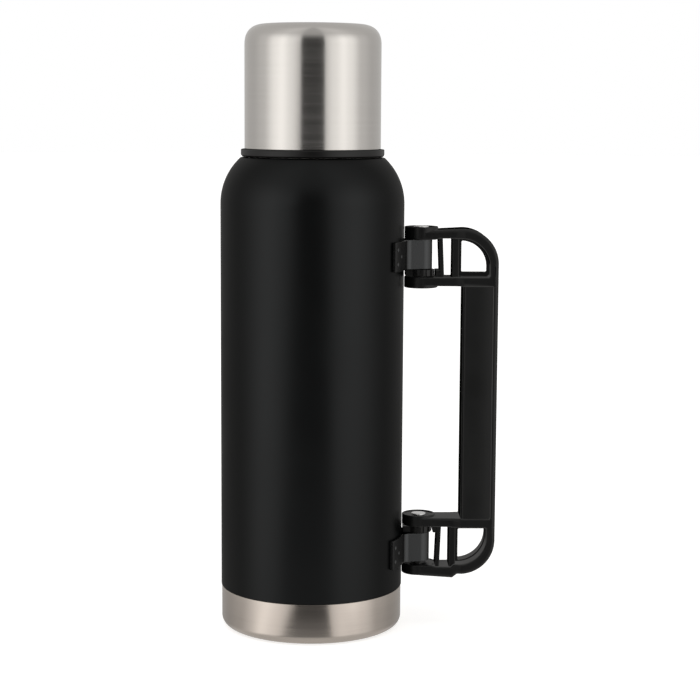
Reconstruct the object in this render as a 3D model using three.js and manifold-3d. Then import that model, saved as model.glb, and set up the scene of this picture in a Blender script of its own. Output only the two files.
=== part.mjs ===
// Insulated steel growler: double-walled bottle, screw stopper, steel cup lid and a hinged folding handle.
// Millimetres, +Z up, the bottle stands on z = 0, the handle points along +X.
import * as THREE from "three";
import { mergeVertices } from "three/addons/utils/BufferGeometryUtils.js";
import Module from "manifold-3d";

const wasm = await Module();
wasm.setup();

// ---- driving dimensions -------------------------------------------------------------------------
const ROUND = 40; // facets round the bottle
const GAP = 0.3; // play between pieces that touch
const STEEL = 0.8; // sheet thickness of the bottle and the cup

// outer shell
const BODY_R = 48;
const SHELL_FOOT_Z = 21.8;
const SHOULDER_Z = 224; // where the shoulder's arc starts
const SHOULDER_ARC_R = 32.3;
const LEDGE_R = 37.5; // the shoulder ends here and the flat ledge starts
const NECK_R = 31.2;
const NECK_TOP_Z = 268;

// steel base band
const BASE_R = 47.7;
const BASE_TOP_Z = 21.5;
const BASE_EDGE_R = 5;
const GROOVE_R = 31; // ring stamped in the underside
const GROOVE_WIDTH = 3;
const GROOVE_DEPTH = 0.6;

// inner bottle
const LINER_R = 44;
const LINER_FOOT_Z = 16;
const LINER_SHOULDER_Z = 222;
const LINER_NECK_R = 28.5;
const LINER_FLOOR_Z = 13;
const LINER_FLOOR_RIM_Z = 24;
const FLOOR_CORNER = 3; // chamfer between a pressed floor and its rim
const LIP_R = 31.2;

// bottom closure of the vacuum space
const SKIRT_R = 46.6;
const SKIRT_FLOOR_Z = 8;
const SKIRT_TOP_Z = 34;
const EVACUATION_R = 2;
const SEAL_R = 5;
const SEAL_HEIGHT = 1.5;
const GETTER_R = 9;
const GETTER_X = 22;
const GETTER_HEIGHT = 2;

// threads, all right-handed with one pitch
const PITCH = 6;
const THREAD_TURNS = 1.25;
const THREAD_ROOT_WIDTH = 2.4;
const THREAD_CREST_WIDTH = 1.2;
const THREAD_RUN_OUT = 0.08; // share of the thread that tapers at each end
const THREAD_END = 0.2; // share of the thread's height left at its very ends
const NECK_THREAD_CREST_R = 32.7;
const CUP_THREAD_CREST_R = 31.6;
const STOPPER_THREAD_CREST_R = 27.3;
const MOUTH_THREAD_CREST_R = 26.6;
const NECK_THREAD_Z = 255;
const CUP_THREAD_Z = NECK_THREAD_Z - PITCH / 2;
const STOPPER_THREAD_Z = 248.5;
const MOUTH_THREAD_Z = STOPPER_THREAD_Z + PITCH / 2;
const POUR_GROOVE_WIDTH = 14;

// stopper
const PLUG_R = 26.2;
const PLUG_WALL = 1.6;
const PLUG_FLOOR_Z = 244;
const STOPPER_FLANGE_R = 30.4;
const STOPPER_FLANGE_Z = 271.3;
const STOPPER_FLANGE_THICK = 2;
const STOPPER_SEAL_INNER_R = 26.8;
const STOPPER_SEAL_OUTER_R = 30.2;
const KNOB_TOP_Z = 288;
const KNOB_WALL = 2.8;
const KNOB_EDGE_R = 2.5;
const FLUTES = 12;
const FLUTE_R = 3;
const FLUTE_DEPTH = 1.2;
const FLUTE_FOOT = 2; // the flutes start this high on the knob
const FLUTE_FACETS = 12;

// cup lid
const CUP_R = 35.4;
const CUP_FOOT_Z = 252.5;
const CUP_CORNER_Z = 305.2;
const CUP_CORNER_WIDTH = 11.5;
const CUP_CORNER_HEIGHT = 11;
const CUP_CORNER_POWER = 2.5; // 2 would be an ellipse, more is squarer
const CUP_CROWN = 0.3; // rise of the cup's top at its centre
const CUP_LINER_R = 34.3;
const CUP_LINER_WALL = 1.3;
const CUP_LINER_HEADROOM = 0.7; // air between the tops of the cup's two walls
const RING_R = 37.26;
const RING_FOOT_Z = 248.3;
const RING_TOP_Z = 252.2;
const RING_CHAMFER = 0.6;
const GASKET_GROOVE_INNER_R = 33.8;
const GASKET_GROOVE_OUTER_R = 36.2;
const GASKET_GROOVE_DEPTH = 1.7;
const GASKET_PROUD = 0.15;

// hinges
const PIVOT_X = 57;
const HANDLE_MID_Z = 119.8;
const KNUCKLE_R = 8.6;
const PIN_R = 2.5;
const PIN_HEAD_R = 3.75;
const PIN_HEAD_HEIGHT = 0.7;
const PIN_HOLE_R = 2.8;
const PIN_SET_IN = 0.05; // the pin's foot stays inside the knuckle by this much
const FACETS_SMALL = 24; // round a pin, a bush or a washer
const RECESS_R = 7.6;
const RECESS_DEPTH = 0.7;
const WASHER_R = 4.4;
const WASHER_HEIGHT = 0.6;
const WASHER_POCKET_R = 4.8;
const WASHER_POCKET_DEPTH = 1;
// heights above and below the handle's middle
const OUTER_KNUCKLE_FAR = 92.5;
const OUTER_KNUCKLE_NEAR = { upper: 85.9, lower: 87.2 };
const INNER_KNUCKLE_FAR = 66.4;
const INNER_KNUCKLE_NEAR = 60.5;
const STRAP_FAR = 85.6;
const STRAP_NEAR = 70.4;
const STRAP_THICK = 1.2;
const STRAP_LOOP_R = 5.8;
const STRAP_WRAP_DEG = 31; // how far each tab wraps round the bottle
const STRAP_BEND_R = 4;
const STRAP_TAPER_DEG = 10; // the straight run towards the loop leans in by this much
const BUSH_R = 4.3;
const BUSH_FLANGE_R = 7;
const BUSH_FLANGE_FAR = 70.1;
const BUSH_FLANGE_NEAR = 66.7;
const BUSH_TEETH = 12;
const BUSH_TOOTH_DEPTH = 0.7;
const BUSH_TAIL_X = 48.6; // the flange's tail, which lies against the bottle
const BUSH_TAIL_HALF_WIDTH = 5;

// handle frame; heights are above and below the handle's middle
const HANDLE_X = 97.1;
const HANDLE_HALF_WIDTH = 10.5;
const HANDLE_EDGE_R = 2;
const ARM_HALF_WIDTH = 9.2; // where the ribs are
const ARM_X = 74;
const GRIP_START_X = 80; // the handle has its full width from here on
const UPPER_ARM_TOP = [90.7, 91.2]; // at the knuckle and at STEP_X
const LOWER_ARM_FOOT = [93, 93.9]; // at the knuckle and at STEP_X
const STEP_X = 75.4;
const STEP_END_X = 77.5;
const RIM_TOP = 91.7;
const RIM_CORNER_X = 78.7;
const RIM_CORNER_R = 18.4;
const GRIP_X = 78.7;
const GRIP_OPENING_HALF = 61.7;
const GRIP_OPENING_FILLET = 1.5;
const SLOT_FAR = { upper: 86.6, lower: 88 };
const D_X = 76.4; // the D-shaped window at the faces
const D_FOOT = 66.6;
const D_ARC_X = 77.8;
const D_ARC_Z = 71.6;
const D_ARC_R = 14.9;
const D_FILLET = 1.2;
const D_WEB_HALF_THICK = 1.2; // a thin web narrows the window at its middle
const D_WEB_X = 78.1;
const D_WEB_FOOT = 68.8;
const D_WEB_ARC_R = { upper: 13.5, lower: 14.3 };
const D_WEB_FILLET = 0.6;
const RIB_HALF_WIDTH = 6.8;
const SLOT_ONE_X_NEAR = 66.6; // at the inner arm
const SLOT_ONE_X_FAR = 65.7; // at the outer arm
const BLOCK_X = 64.6;
const BLOCK_TOP = 69.9;
const SLOT_TWO_X_NEAR = 68.8;
const SLOT_TWO_X_FAR = 67.9;
const SLOT_TWO_END_X = 73;
const PAD_HALF_HEIGHT = 61.6;
const PAD_OUTER_X = 94.2;
const WEB_X = 84;
const WEB_HALF_WIDTH = 3;
const SPINE_X = 94.5;
const WELL_CLEAR = 20; // how far a cutting shape reaches past what it cuts

// ---- materials ----------------------------------------------------------------------------------
function finish(name, color, metalness, roughness) {
  const material = new THREE.MeshStandardMaterial({ color, metalness, roughness });
  material.name = name;
  return material;
}

const brushedSteel = finish("brushed_steel", 0xb9b6b1, 1, 0.34);
const powderBlack = finish("powder_black", 0x1b1c1c, 0.1, 0.6);
const strapPaint = finish("strap_paint", 0x3a3b3b, 0.3, 0.45);
const handlePlastic = finish("handle_plastic", 0x161717, 0, 0.55);
const gripRubber = finish("grip_rubber", 0x1a1b1b, 0, 0.75);
const lidPlastic = finish("lid_plastic", 0x141414, 0, 0.5);
const silicone = finish("silicone", 0xd8d8d4, 0, 0.6);
const foam = finish("foam", 0xe9e6da, 0, 0.95);
const pinSteel = finish("pin_steel", 0xc9c9c8, 1, 0.25);
const getterMetal = finish("getter_metal", 0x6e6f72, 0.8, 0.7);
const sealMetal = finish("seal_metal", 0x8d8f92, 0.9, 0.5);

// ---- helpers ------------------------------------------------------------------------------------
const TURN = 2 * Math.PI;

// A three.js geometry as a solid: vertices merged, collapsed faces dropped, faces turned outwards.
function solid(geometry) {
  const bare = geometry.clone();
  bare.deleteAttribute("normal");
  bare.deleteAttribute("uv");
  const merged = mergeVertices(bare, 1e-4);
  const p = merged.attributes.position.array;
  const index = merged.index.array;
  const faces = [];
  let volume = 0;
  for (let i = 0; i < index.length; i += 3) {
    const [a, b, c] = [index[i], index[i + 1], index[i + 2]];
    if (a === b || b === c || c === a) continue;
    faces.push([a, b, c]);
    const at = (k) => new THREE.Vector3(p[3 * k], p[3 * k + 1], p[3 * k + 2]);
    volume += at(a).dot(at(b).cross(at(c)));
  }
  const order = volume < 0 ? faces.map(([a, b, c]) => [a, c, b]) : faces;
  return new wasm.Manifold(
    new wasm.Mesh({
      numProp: 3,
      vertProperties: new Float32Array(p),
      triVerts: new Uint32Array(order.flat()),
    }),
  );
}

const root = new THREE.Group();
root.name = "growler";

function addNode(name, made, material) {
  const m = made.getMesh();
  const geometry = new THREE.BufferGeometry();
  geometry.setAttribute("position", new THREE.BufferAttribute(new Float32Array(m.vertProperties), 3));
  geometry.setIndex(new THREE.BufferAttribute(new Uint32Array(m.triVerts), 1));
  const flat = geometry.toNonIndexed();
  flat.computeVertexNormals();
  const mesh = new THREE.Mesh(flat, material);
  mesh.name = name;
  root.add(mesh);
}

// Points of an arc in a profile, from one angle to another, in degrees.
function arc(cx, cy, r, from, to, steps) {
  const points = [];
  for (let i = 0; i <= steps; i++) {
    const a = THREE.MathUtils.degToRad(from + ((to - from) * i) / steps);
    points.push([cx + r * Math.cos(a), cy + r * Math.sin(a)]);
  }
  return points;
}

// Points of a quarter of a superellipse, from its widest point up to its top.
function squareCorner(cx, cy, width, height, steps) {
  const points = [];
  for (let i = 0; i <= steps; i++) {
    const a = (Math.PI / 2) * (i / steps);
    const power = 2 / CUP_CORNER_POWER;
    points.push([cx + width * Math.cos(a) ** power, cy + height * Math.sin(a) ** power]);
  }
  return points;
}

// A closed profile of [radius, height] turned about Z.
function lathe(profile, segments = ROUND) {
  const points = profile.map(([r, z]) => new THREE.Vector2(r, z));
  points.push(points[0].clone());
  return solid(new THREE.LatheGeometry(points, segments).rotateX(Math.PI / 2));
}

function tube(innerR, outerR, low, high, segments = ROUND) {
  return lathe(
    [
      [innerR, low],
      [outerR, low],
      [outerR, high],
      [innerR, high],
    ],
    segments,
  );
}

function disc(r, low, high, segments, x = 0, y = 0) {
  const geometry = new THREE.CylinderGeometry(r, r, high - low, segments);
  geometry.rotateX(Math.PI / 2);
  geometry.translate(x, y, (low + high) / 2);
  return solid(geometry);
}

function box(x0, x1, y0, y1, z0, z1) {
  const geometry = new THREE.BoxGeometry(x1 - x0, y1 - y0, z1 - z0);
  geometry.translate((x0 + x1) / 2, (y0 + y1) / 2, (z0 + z1) / 2);
  return solid(geometry);
}

function shapeOf(points) {
  return new THREE.Shape(points.map(([x, y]) => new THREE.Vector2(x, y)));
}

// An outline seen from above, standing between two heights.
function standing(points, low, high) {
  const geometry = new THREE.ExtrudeGeometry(shapeOf(points), { depth: high - low, bevelEnabled: false });
  geometry.translate(0, 0, low);
  return solid(geometry);
}

// An outline seen from the side, as [x, height from the handle's middle], with the given half width in Y.
function sidePlate(points, halfWidth, side = 1) {
  const shape = shapeOf(points.map(([x, h]) => [x, HANDLE_MID_Z + side * h]));
  const geometry = new THREE.ExtrudeGeometry(shape, { depth: 2 * halfWidth, bevelEnabled: false });
  geometry.rotateX(Math.PI / 2);
  geometry.translate(0, halfWidth, 0);
  return solid(geometry);
}

// The two heights of a span that lies on one side of the handle's middle, lowest first.
function span(side, near, far) {
  const ends = [HANDLE_MID_Z + side * near, HANDLE_MID_Z + side * far];
  return side > 0 ? ends : ends.reverse();
}

// A thread ridge: a trapezium wound round Z, its ends run out into the wall at rootR.
function thread(rootR, crestR, startZ, turns = THREAD_TURNS) {
  const section = [
    [rootR, -THREAD_ROOT_WIDTH / 2],
    [crestR, -THREAD_CREST_WIDTH / 2],
    [crestR, THREAD_CREST_WIDTH / 2],
    [rootR, THREAD_ROOT_WIDTH / 2],
  ];
  const steps = Math.round(turns * ROUND);
  const geometry = new THREE.ExtrudeGeometry(shapeOf(section), { depth: 1, steps, bevelEnabled: false });
  const p = geometry.attributes.position;
  for (let i = 0; i < p.count; i++) {
    const along = p.getZ(i);
    const full = Math.min(1, Math.max(THREAD_END, Math.min(along, 1 - along) / THREAD_RUN_OUT));
    const r = rootR + (p.getX(i) - rootR) * full;
    const angle = along * turns * TURN;
    const z = startZ + p.getY(i) + PITCH * turns * along;
    p.setXYZ(i, r * Math.cos(angle), r * Math.sin(angle), z);
  }
  return solid(geometry);
}

// ---- bottle -------------------------------------------------------------------------------------
const shoulderCentreR = BODY_R - SHOULDER_ARC_R;
const ledgeAngle = THREE.MathUtils.radToDeg(Math.acos((LEDGE_R - shoulderCentreR) / SHOULDER_ARC_R));
const ledgeZ = SHOULDER_Z + SHOULDER_ARC_R * Math.sin(THREE.MathUtils.degToRad(ledgeAngle));
const neckInnerR = NECK_R - STEEL;
const mouthR = LINER_NECK_R - STEEL;
const THREAD_BITE = 0.3; // depth of a thread's root inside its wall

function outerShell() {
  const innerArcR = SHOULDER_ARC_R - STEEL;
  const innerLedgeZ = ledgeZ - STEEL;
  const innerAngle = THREE.MathUtils.radToDeg(Math.asin((innerLedgeZ - SHOULDER_Z) / innerArcR));
  const wall = lathe([
    [BODY_R, SHELL_FOOT_Z],
    ...arc(shoulderCentreR, SHOULDER_Z, SHOULDER_ARC_R, 0, ledgeAngle, 6),
    [NECK_R, ledgeZ],
    [NECK_R, NECK_TOP_Z],
    [neckInnerR, NECK_TOP_Z],
    [neckInnerR, innerLedgeZ],
    ...arc(shoulderCentreR, SHOULDER_Z, innerArcR, innerAngle, 0, 4),
    [BODY_R - STEEL, SHELL_FOOT_Z],
  ]);
  return wall.add(thread(NECK_R - THREAD_BITE, NECK_THREAD_CREST_R, NECK_THREAD_Z));
}

function innerLiner() {
  const arcR = LINER_R - shoulderCentreR;
  const lipZ = NECK_TOP_Z + GAP;
  const wall = lathe([
    [LINER_R, LINER_FOOT_Z],
    ...arc(shoulderCentreR, LINER_SHOULDER_Z, arcR, 0, 60, 5),
    [LINER_NECK_R, ledgeZ],
    [LINER_NECK_R, lipZ],
    [LIP_R, lipZ],
    [LIP_R, lipZ + STEEL],
    [mouthR, lipZ + STEEL],
    [mouthR, ledgeZ],
    ...arc(shoulderCentreR, LINER_SHOULDER_Z, arcR - STEEL, 60, 0, 4),
    [LINER_R - STEEL, LINER_FOOT_Z],
  ]);
  return wall.add(thread(mouthR + THREAD_BITE, MOUTH_THREAD_CREST_R, MOUTH_THREAD_Z));
}

function linerFloor() {
  const r = LINER_R - STEEL - GAP;
  return lathe([
    [0, LINER_FLOOR_Z],
    [r - FLOOR_CORNER, LINER_FLOOR_Z],
    [r, LINER_FLOOR_Z + FLOOR_CORNER],
    [r, LINER_FLOOR_RIM_Z],
    [r - STEEL, LINER_FLOOR_RIM_Z],
    [r - STEEL, LINER_FLOOR_Z + FLOOR_CORNER + STEEL / 2],
    [r - FLOOR_CORNER - STEEL / 2, LINER_FLOOR_Z + STEEL],
    [0, LINER_FLOOR_Z + STEEL],
  ]);
}

function outerBottom() {
  return lathe([
    [EVACUATION_R, SKIRT_FLOOR_Z],
    [SKIRT_R - FLOOR_CORNER, SKIRT_FLOOR_Z],
    [SKIRT_R, SKIRT_FLOOR_Z + FLOOR_CORNER],
    [SKIRT_R, SKIRT_TOP_Z],
    [SKIRT_R - STEEL, SKIRT_TOP_Z],
    [SKIRT_R - STEEL, SKIRT_FLOOR_Z + FLOOR_CORNER + STEEL / 2],
    [SKIRT_R - FLOOR_CORNER - STEEL / 2, SKIRT_FLOOR_Z + STEEL],
    [EVACUATION_R, SKIRT_FLOOR_Z + STEEL],
  ]);
}

function vacuumSeal() {
  const top = SKIRT_FLOOR_Z - GAP;
  return lathe(
    [
      [0, top - SEAL_HEIGHT],
      [SEAL_R / 2, top - SEAL_HEIGHT],
      [SEAL_R, top - SEAL_HEIGHT / 2],
      [SEAL_R, top],
      [0, top],
    ],
    24,
  );
}

function getter() {
  const low = SKIRT_FLOOR_Z + STEEL + GAP;
  return disc(GETTER_R, low, low + GETTER_HEIGHT, 24, GETTER_X);
}

function baseCup() {
  const innerR = BASE_R - STEEL;
  const grooveLow = GROOVE_R - GROOVE_WIDTH / 2;
  const grooveHigh = GROOVE_R + GROOVE_WIDTH / 2;
  return lathe([
    [0, 0],
    [grooveLow, 0],
    [grooveLow + GROOVE_DEPTH, GROOVE_DEPTH],
    [grooveHigh - GROOVE_DEPTH, GROOVE_DEPTH],
    [grooveHigh, 0],
    ...arc(BASE_R - BASE_EDGE_R, BASE_EDGE_R, BASE_EDGE_R, -90, 0, 4),
    [BASE_R, BASE_TOP_Z],
    [innerR, BASE_TOP_Z],
    ...arc(BASE_R - BASE_EDGE_R, BASE_EDGE_R, BASE_EDGE_R - STEEL, 0, -90, 3),
    [grooveHigh + STEEL, STEEL],
    [grooveHigh, STEEL + GROOVE_DEPTH],
    [grooveLow, STEEL + GROOVE_DEPTH],
    [grooveLow - STEEL, STEEL],
    [0, STEEL],
  ]);
}

// ---- stopper ------------------------------------------------------------------------------------
const flangeTopZ = STOPPER_FLANGE_Z + STOPPER_FLANGE_THICK;

function stopperBody() {
  const innerR = PLUG_R - PLUG_WALL;
  const wall = lathe([
    [0, PLUG_FLOOR_Z],
    [PLUG_R - 1, PLUG_FLOOR_Z],
    [PLUG_R, PLUG_FLOOR_Z + 1],
    [PLUG_R, STOPPER_FLANGE_Z],
    [STOPPER_FLANGE_R, STOPPER_FLANGE_Z],
    [STOPPER_FLANGE_R, flangeTopZ],
    [innerR, flangeTopZ],
    [innerR, PLUG_FLOOR_Z + PLUG_WALL],
    [0, PLUG_FLOOR_Z + PLUG_WALL],
  ]);
  const reach = STOPPER_THREAD_CREST_R + 1;
  const half = POUR_GROOVE_WIDTH / 2;
  // The groove that lets the drink past the half-unscrewed stopper stops at the plug's wall.
  const groove = box(PLUG_R - THREAD_BITE / 2, reach, -half, half, PLUG_FLOOR_Z, STOPPER_FLANGE_Z);
  const ridge = thread(PLUG_R - THREAD_BITE, STOPPER_THREAD_CREST_R, STOPPER_THREAD_Z);
  return wall.add(ridge.subtract(groove));
}

function stopperKnob() {
  const low = flangeTopZ + GAP;
  const innerR = STOPPER_FLANGE_R - KNOB_WALL;
  let knob = lathe([
    [0, KNOB_TOP_Z - KNOB_WALL],
    [innerR, KNOB_TOP_Z - KNOB_WALL],
    [innerR, low],
    [STOPPER_FLANGE_R, low],
    ...arc(STOPPER_FLANGE_R - KNOB_EDGE_R, KNOB_TOP_Z - KNOB_EDGE_R, KNOB_EDGE_R, 0, 90, 3),
    [0, KNOB_TOP_Z],
  ]);
  const at = STOPPER_FLANGE_R + FLUTE_R - FLUTE_DEPTH;
  for (let i = 0; i < FLUTES; i++) {
    const a = (TURN * i) / FLUTES;
    const [x, y] = [at * Math.cos(a), at * Math.sin(a)];
    knob = knob.subtract(disc(FLUTE_R, low + FLUTE_FOOT, KNOB_TOP_Z + GAP, FLUTE_FACETS, x, y));
  }
  return knob;
}

function stopperFoam() {
  const r = PLUG_R - PLUG_WALL - GAP;
  return disc(r, PLUG_FLOOR_Z + PLUG_WALL + GAP, flangeTopZ - GAP, ROUND);
}

function stopperSeal() {
  const low = NECK_TOP_Z + GAP + STEEL + GAP;
  return tube(STOPPER_SEAL_INNER_R, STOPPER_SEAL_OUTER_R, low, STOPPER_FLANGE_Z - GAP);
}

// ---- cup lid ------------------------------------------------------------------------------------
const cupCornerR = CUP_R - CUP_CORNER_WIDTH;

// The cup's rounded corner, set in from its outside face by a depth at the side and at the top.
function cupCorner(sideDepth, topDepth, steps) {
  const width = CUP_CORNER_WIDTH - sideDepth;
  const height = CUP_CORNER_HEIGHT - topDepth;
  return squareCorner(cupCornerR, CUP_CORNER_Z, width, height, steps);
}

function cupShell() {
  const topZ = CUP_CORNER_Z + CUP_CORNER_HEIGHT + CUP_CROWN;
  return lathe([
    [CUP_R, CUP_FOOT_Z],
    ...cupCorner(0, 0, 7),
    [0, topZ],
    [0, topZ - STEEL],
    ...cupCorner(STEEL, STEEL, 5).reverse(),
    [CUP_R - STEEL, CUP_FOOT_Z],
  ]);
}

function cupLiner() {
  const side = CUP_R - CUP_LINER_R;
  const top = side + CUP_LINER_HEADROOM;
  const innerR = CUP_LINER_R - CUP_LINER_WALL;
  const topZ = CUP_CORNER_Z + CUP_CORNER_HEIGHT - top;
  const grooveTop = RING_FOOT_Z + GASKET_GROOVE_DEPTH;
  const wall = lathe([
    [innerR, RING_FOOT_Z],
    [GASKET_GROOVE_INNER_R, RING_FOOT_Z],
    [GASKET_GROOVE_INNER_R, grooveTop],
    [GASKET_GROOVE_OUTER_R, grooveTop],
    [GASKET_GROOVE_OUTER_R, RING_FOOT_Z],
    [RING_R - RING_CHAMFER, RING_FOOT_Z],
    [RING_R, RING_FOOT_Z + RING_CHAMFER],
    [RING_R, RING_TOP_Z - RING_CHAMFER / 2],
    [RING_R - RING_CHAMFER / 2, RING_TOP_Z],
    [CUP_LINER_R, RING_TOP_Z],
    ...cupCorner(side, top, 5),
    [0, topZ],
    [0, topZ - CUP_LINER_WALL],
    ...cupCorner(side + CUP_LINER_WALL, top + CUP_LINER_WALL, 5).reverse(),
  ]);
  return wall.add(thread(innerR + THREAD_BITE, CUP_THREAD_CREST_R, CUP_THREAD_Z));
}

function cupGasket() {
  return tube(
    GASKET_GROOVE_INNER_R + GAP,
    GASKET_GROOVE_OUTER_R - GAP,
    RING_FOOT_Z - GASKET_PROUD,
    RING_FOOT_Z + GASKET_GROOVE_DEPTH - GAP,
  );
}

// ---- hinges -------------------------------------------------------------------------------------
// A strip that wraps the bottle on both sides, bends out from it and loops round the hinge's axis.
function hingeStrap(side) {
  const [low, high] = span(side, STRAP_NEAR, STRAP_FAR);
  const innerR = BODY_R + GAP;
  const outerR = innerR + STRAP_THICK;
  // the bend touches the bottle's circle, and the straight run whose normal points along runDeg
  const runDeg = 90 - STRAP_TAPER_DEG;
  const runAt = PIVOT_X * Math.cos(THREE.MathUtils.degToRad(runDeg)) + STRAP_LOOP_R;
  const bendAt = outerR + STRAP_BEND_R;
  const leaves = runDeg - THREE.MathUtils.radToDeg(Math.acos((runAt + STRAP_BEND_R) / bendAt));
  const bendX = bendAt * Math.cos(THREE.MathUtils.degToRad(leaves));
  const bendY = bendAt * Math.sin(THREE.MathUtils.degToRad(leaves));
  // one face of the strip, from the tab's end on the +Y side to the tab's end on the -Y side
  const face = (wrapR, bendR, loopR) => {
    const half = [
      ...arc(0, 0, wrapR, STRAP_WRAP_DEG, leaves, 3),
      ...arc(bendX, bendY, bendR, 180 + leaves, 180 + runDeg, 6).slice(1),
      ...arc(PIVOT_X, 0, loopR, runDeg, 0, 6),
    ];
    const mirrored = half.slice(0, -1).map(([x, y]) => [x, -y]);
    return half.concat(mirrored.reverse());
  };
  const outside = face(outerR, STRAP_BEND_R, STRAP_LOOP_R);
  const inside = face(innerR, STRAP_BEND_R + STRAP_THICK, STRAP_LOOP_R - STRAP_THICK);
  return standing(outside.concat(inside.reverse()), low, high);
}

// A sleeve in the strap's loop with a toothed flange that the folding handle clicks over.
function hingeBush(side) {
  const [sleeveLow, sleeveHigh] = span(side, BUSH_FLANGE_FAR - 1, STRAP_FAR - GAP);
  const [flangeLow, flangeHigh] = span(side, BUSH_FLANGE_NEAR, BUSH_FLANGE_FAR);
  const outline = [];
  for (let i = 0; i < BUSH_TEETH; i++) {
    const a = (TURN * i) / BUSH_TEETH;
    const half = TURN / BUSH_TEETH / 4;
    const valley = BUSH_FLANGE_R - BUSH_TOOTH_DEPTH;
    outline.push([BUSH_FLANGE_R * Math.cos(a - half), BUSH_FLANGE_R * Math.sin(a - half)]);
    outline.push([BUSH_FLANGE_R * Math.cos(a + half), BUSH_FLANGE_R * Math.sin(a + half)]);
    outline.push([valley * Math.cos(a + half), valley * Math.sin(a + half)]);
    outline.push([valley * Math.cos(a + 3 * half), valley * Math.sin(a + 3 * half)]);
  }
  const toothed = standing(outline.map(([x, y]) => [x + PIVOT_X, y]), flangeLow, flangeHigh);
  const half = BUSH_TAIL_HALF_WIDTH;
  const tail = box(BUSH_TAIL_X, PIVOT_X, -half, half, flangeLow, flangeHigh);
  const sleeve = disc(BUSH_R, sleeveLow, sleeveHigh, FACETS_SMALL, PIVOT_X);
  const hole = disc(PIN_HOLE_R, flangeLow - STRAP_FAR, flangeHigh + STRAP_FAR, FACETS_SMALL, PIVOT_X);
  return toothed.add(tail).add(sleeve).subtract(hole);
}

function nameOf(side) {
  return side > 0 ? "upper" : "lower";
}

// Heights of the top and the bottom face of a hinge's two knuckles taken together.
function hingeEnds(side) {
  return span(side, INNER_KNUCKLE_NEAR, OUTER_KNUCKLE_FAR);
}

function hingePin(side) {
  const [low, high] = hingeEnds(side);
  const seat = high - RECESS_DEPTH + GAP;
  const head = disc(PIN_HEAD_R, seat, seat + PIN_HEAD_HEIGHT, FACETS_SMALL, PIVOT_X);
  return disc(PIN_R, low + PIN_SET_IN, seat + PIN_HEAD_HEIGHT / 2, FACETS_SMALL, PIVOT_X).add(head);
}

function pinWasher(side) {
  const [low] = hingeEnds(side);
  const seat = low + WASHER_POCKET_DEPTH - GAP;
  const ring = disc(WASHER_R, seat - WASHER_HEIGHT, seat, FACETS_SMALL, PIVOT_X);
  return ring.subtract(disc(PIN_HOLE_R, low - WASHER_HEIGHT, low + WASHER_POCKET_DEPTH, FACETS_SMALL, PIVOT_X));
}

// ---- handle -------------------------------------------------------------------------------------
// The D-shaped window's outline: straight at the rib and at the foot, an arc towards the rim.
function dOutline(x, foot, arcR, f = D_FILLET) {
  const end = Math.acos(Math.max(0, x + f - D_ARC_X) / arcR); // where the arc meets the rib's fillet
  const top = D_ARC_Z + arcR * Math.sin(end);
  return [
    ...arc(x + f, foot + f, f, 180, 270, 2),
    ...arc(D_ARC_X + arcR - f, foot + f, f, -90, 0, 2),
    ...arc(D_ARC_X, D_ARC_Z, arcR, 0, THREE.MathUtils.radToDeg(end), 8),
    ...arc(x + f, top - f, f, 90, 180, 2),
  ];
}

// Everything that lies between the two arms on one side of the handle's middle and is open air.
function openings(side) {
  const knuckle = OUTER_KNUCKLE_NEAR[nameOf(side)];
  const far = SLOT_FAR[nameOf(side)];
  const bay = sidePlate(
    [
      [PIVOT_X - WELL_CLEAR, INNER_KNUCKLE_FAR],
      [BLOCK_X, INNER_KNUCKLE_FAR],
      [BLOCK_X, BLOCK_TOP],
      [SLOT_ONE_X_NEAR, BLOCK_TOP],
      [SLOT_ONE_X_FAR, far],
      [PIVOT_X + KNUCKLE_R - 2, far],
      [PIVOT_X + KNUCKLE_R - 2, knuckle],
      [PIVOT_X - WELL_CLEAR, knuckle],
    ],
    WELL_CLEAR,
    side,
  );
  const slot = sidePlate(
    [
      [SLOT_TWO_X_NEAR, INNER_KNUCKLE_FAR],
      [SLOT_TWO_END_X, INNER_KNUCKLE_FAR],
      [SLOT_TWO_END_X, far],
      [SLOT_TWO_X_FAR, far],
    ],
    WELL_CLEAR,
    side,
  );
  return bay.add(slot).add(sidePlate(dOutline(D_X, D_FOOT, D_ARC_R), WELL_CLEAR, side));
}

// The thin web inside the D-shaped window.
function windowWeb(side) {
  const plate = sidePlate(dOutline(D_X - GAP, D_FOOT - GAP, D_ARC_R + GAP), D_WEB_HALF_THICK, side);
  const inner = dOutline(D_WEB_X, D_WEB_FOOT, D_WEB_ARC_R[nameOf(side)], D_WEB_FILLET);
  return plate.subtract(sidePlate(inner, WELL_CLEAR, side));
}

// What narrows the two ribs, so that they clear the strap's tabs when the handle folds.
function ribRelief(side) {
  const [low, high] = span(side, INNER_KNUCKLE_FAR, SLOT_FAR[nameOf(side)]);
  const left = box(PIVOT_X, D_X, RIB_HALF_WIDTH, WELL_CLEAR, low, high);
  const right = box(PIVOT_X, D_X, -WELL_CLEAR, -RIB_HALF_WIDTH, low, high);
  return left.add(right);
}

// The side view's rim on one side of the middle, from the knuckle out to the grip.
function rim([atKnuckle, atStep]) {
  return [
    [PIVOT_X, atKnuckle],
    [STEP_X, atStep],
    [STEP_END_X, RIM_TOP],
    ...arc(RIM_CORNER_X, RIM_TOP - RIM_CORNER_R, RIM_CORNER_R, 90, 0, 9),
  ];
}

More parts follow.
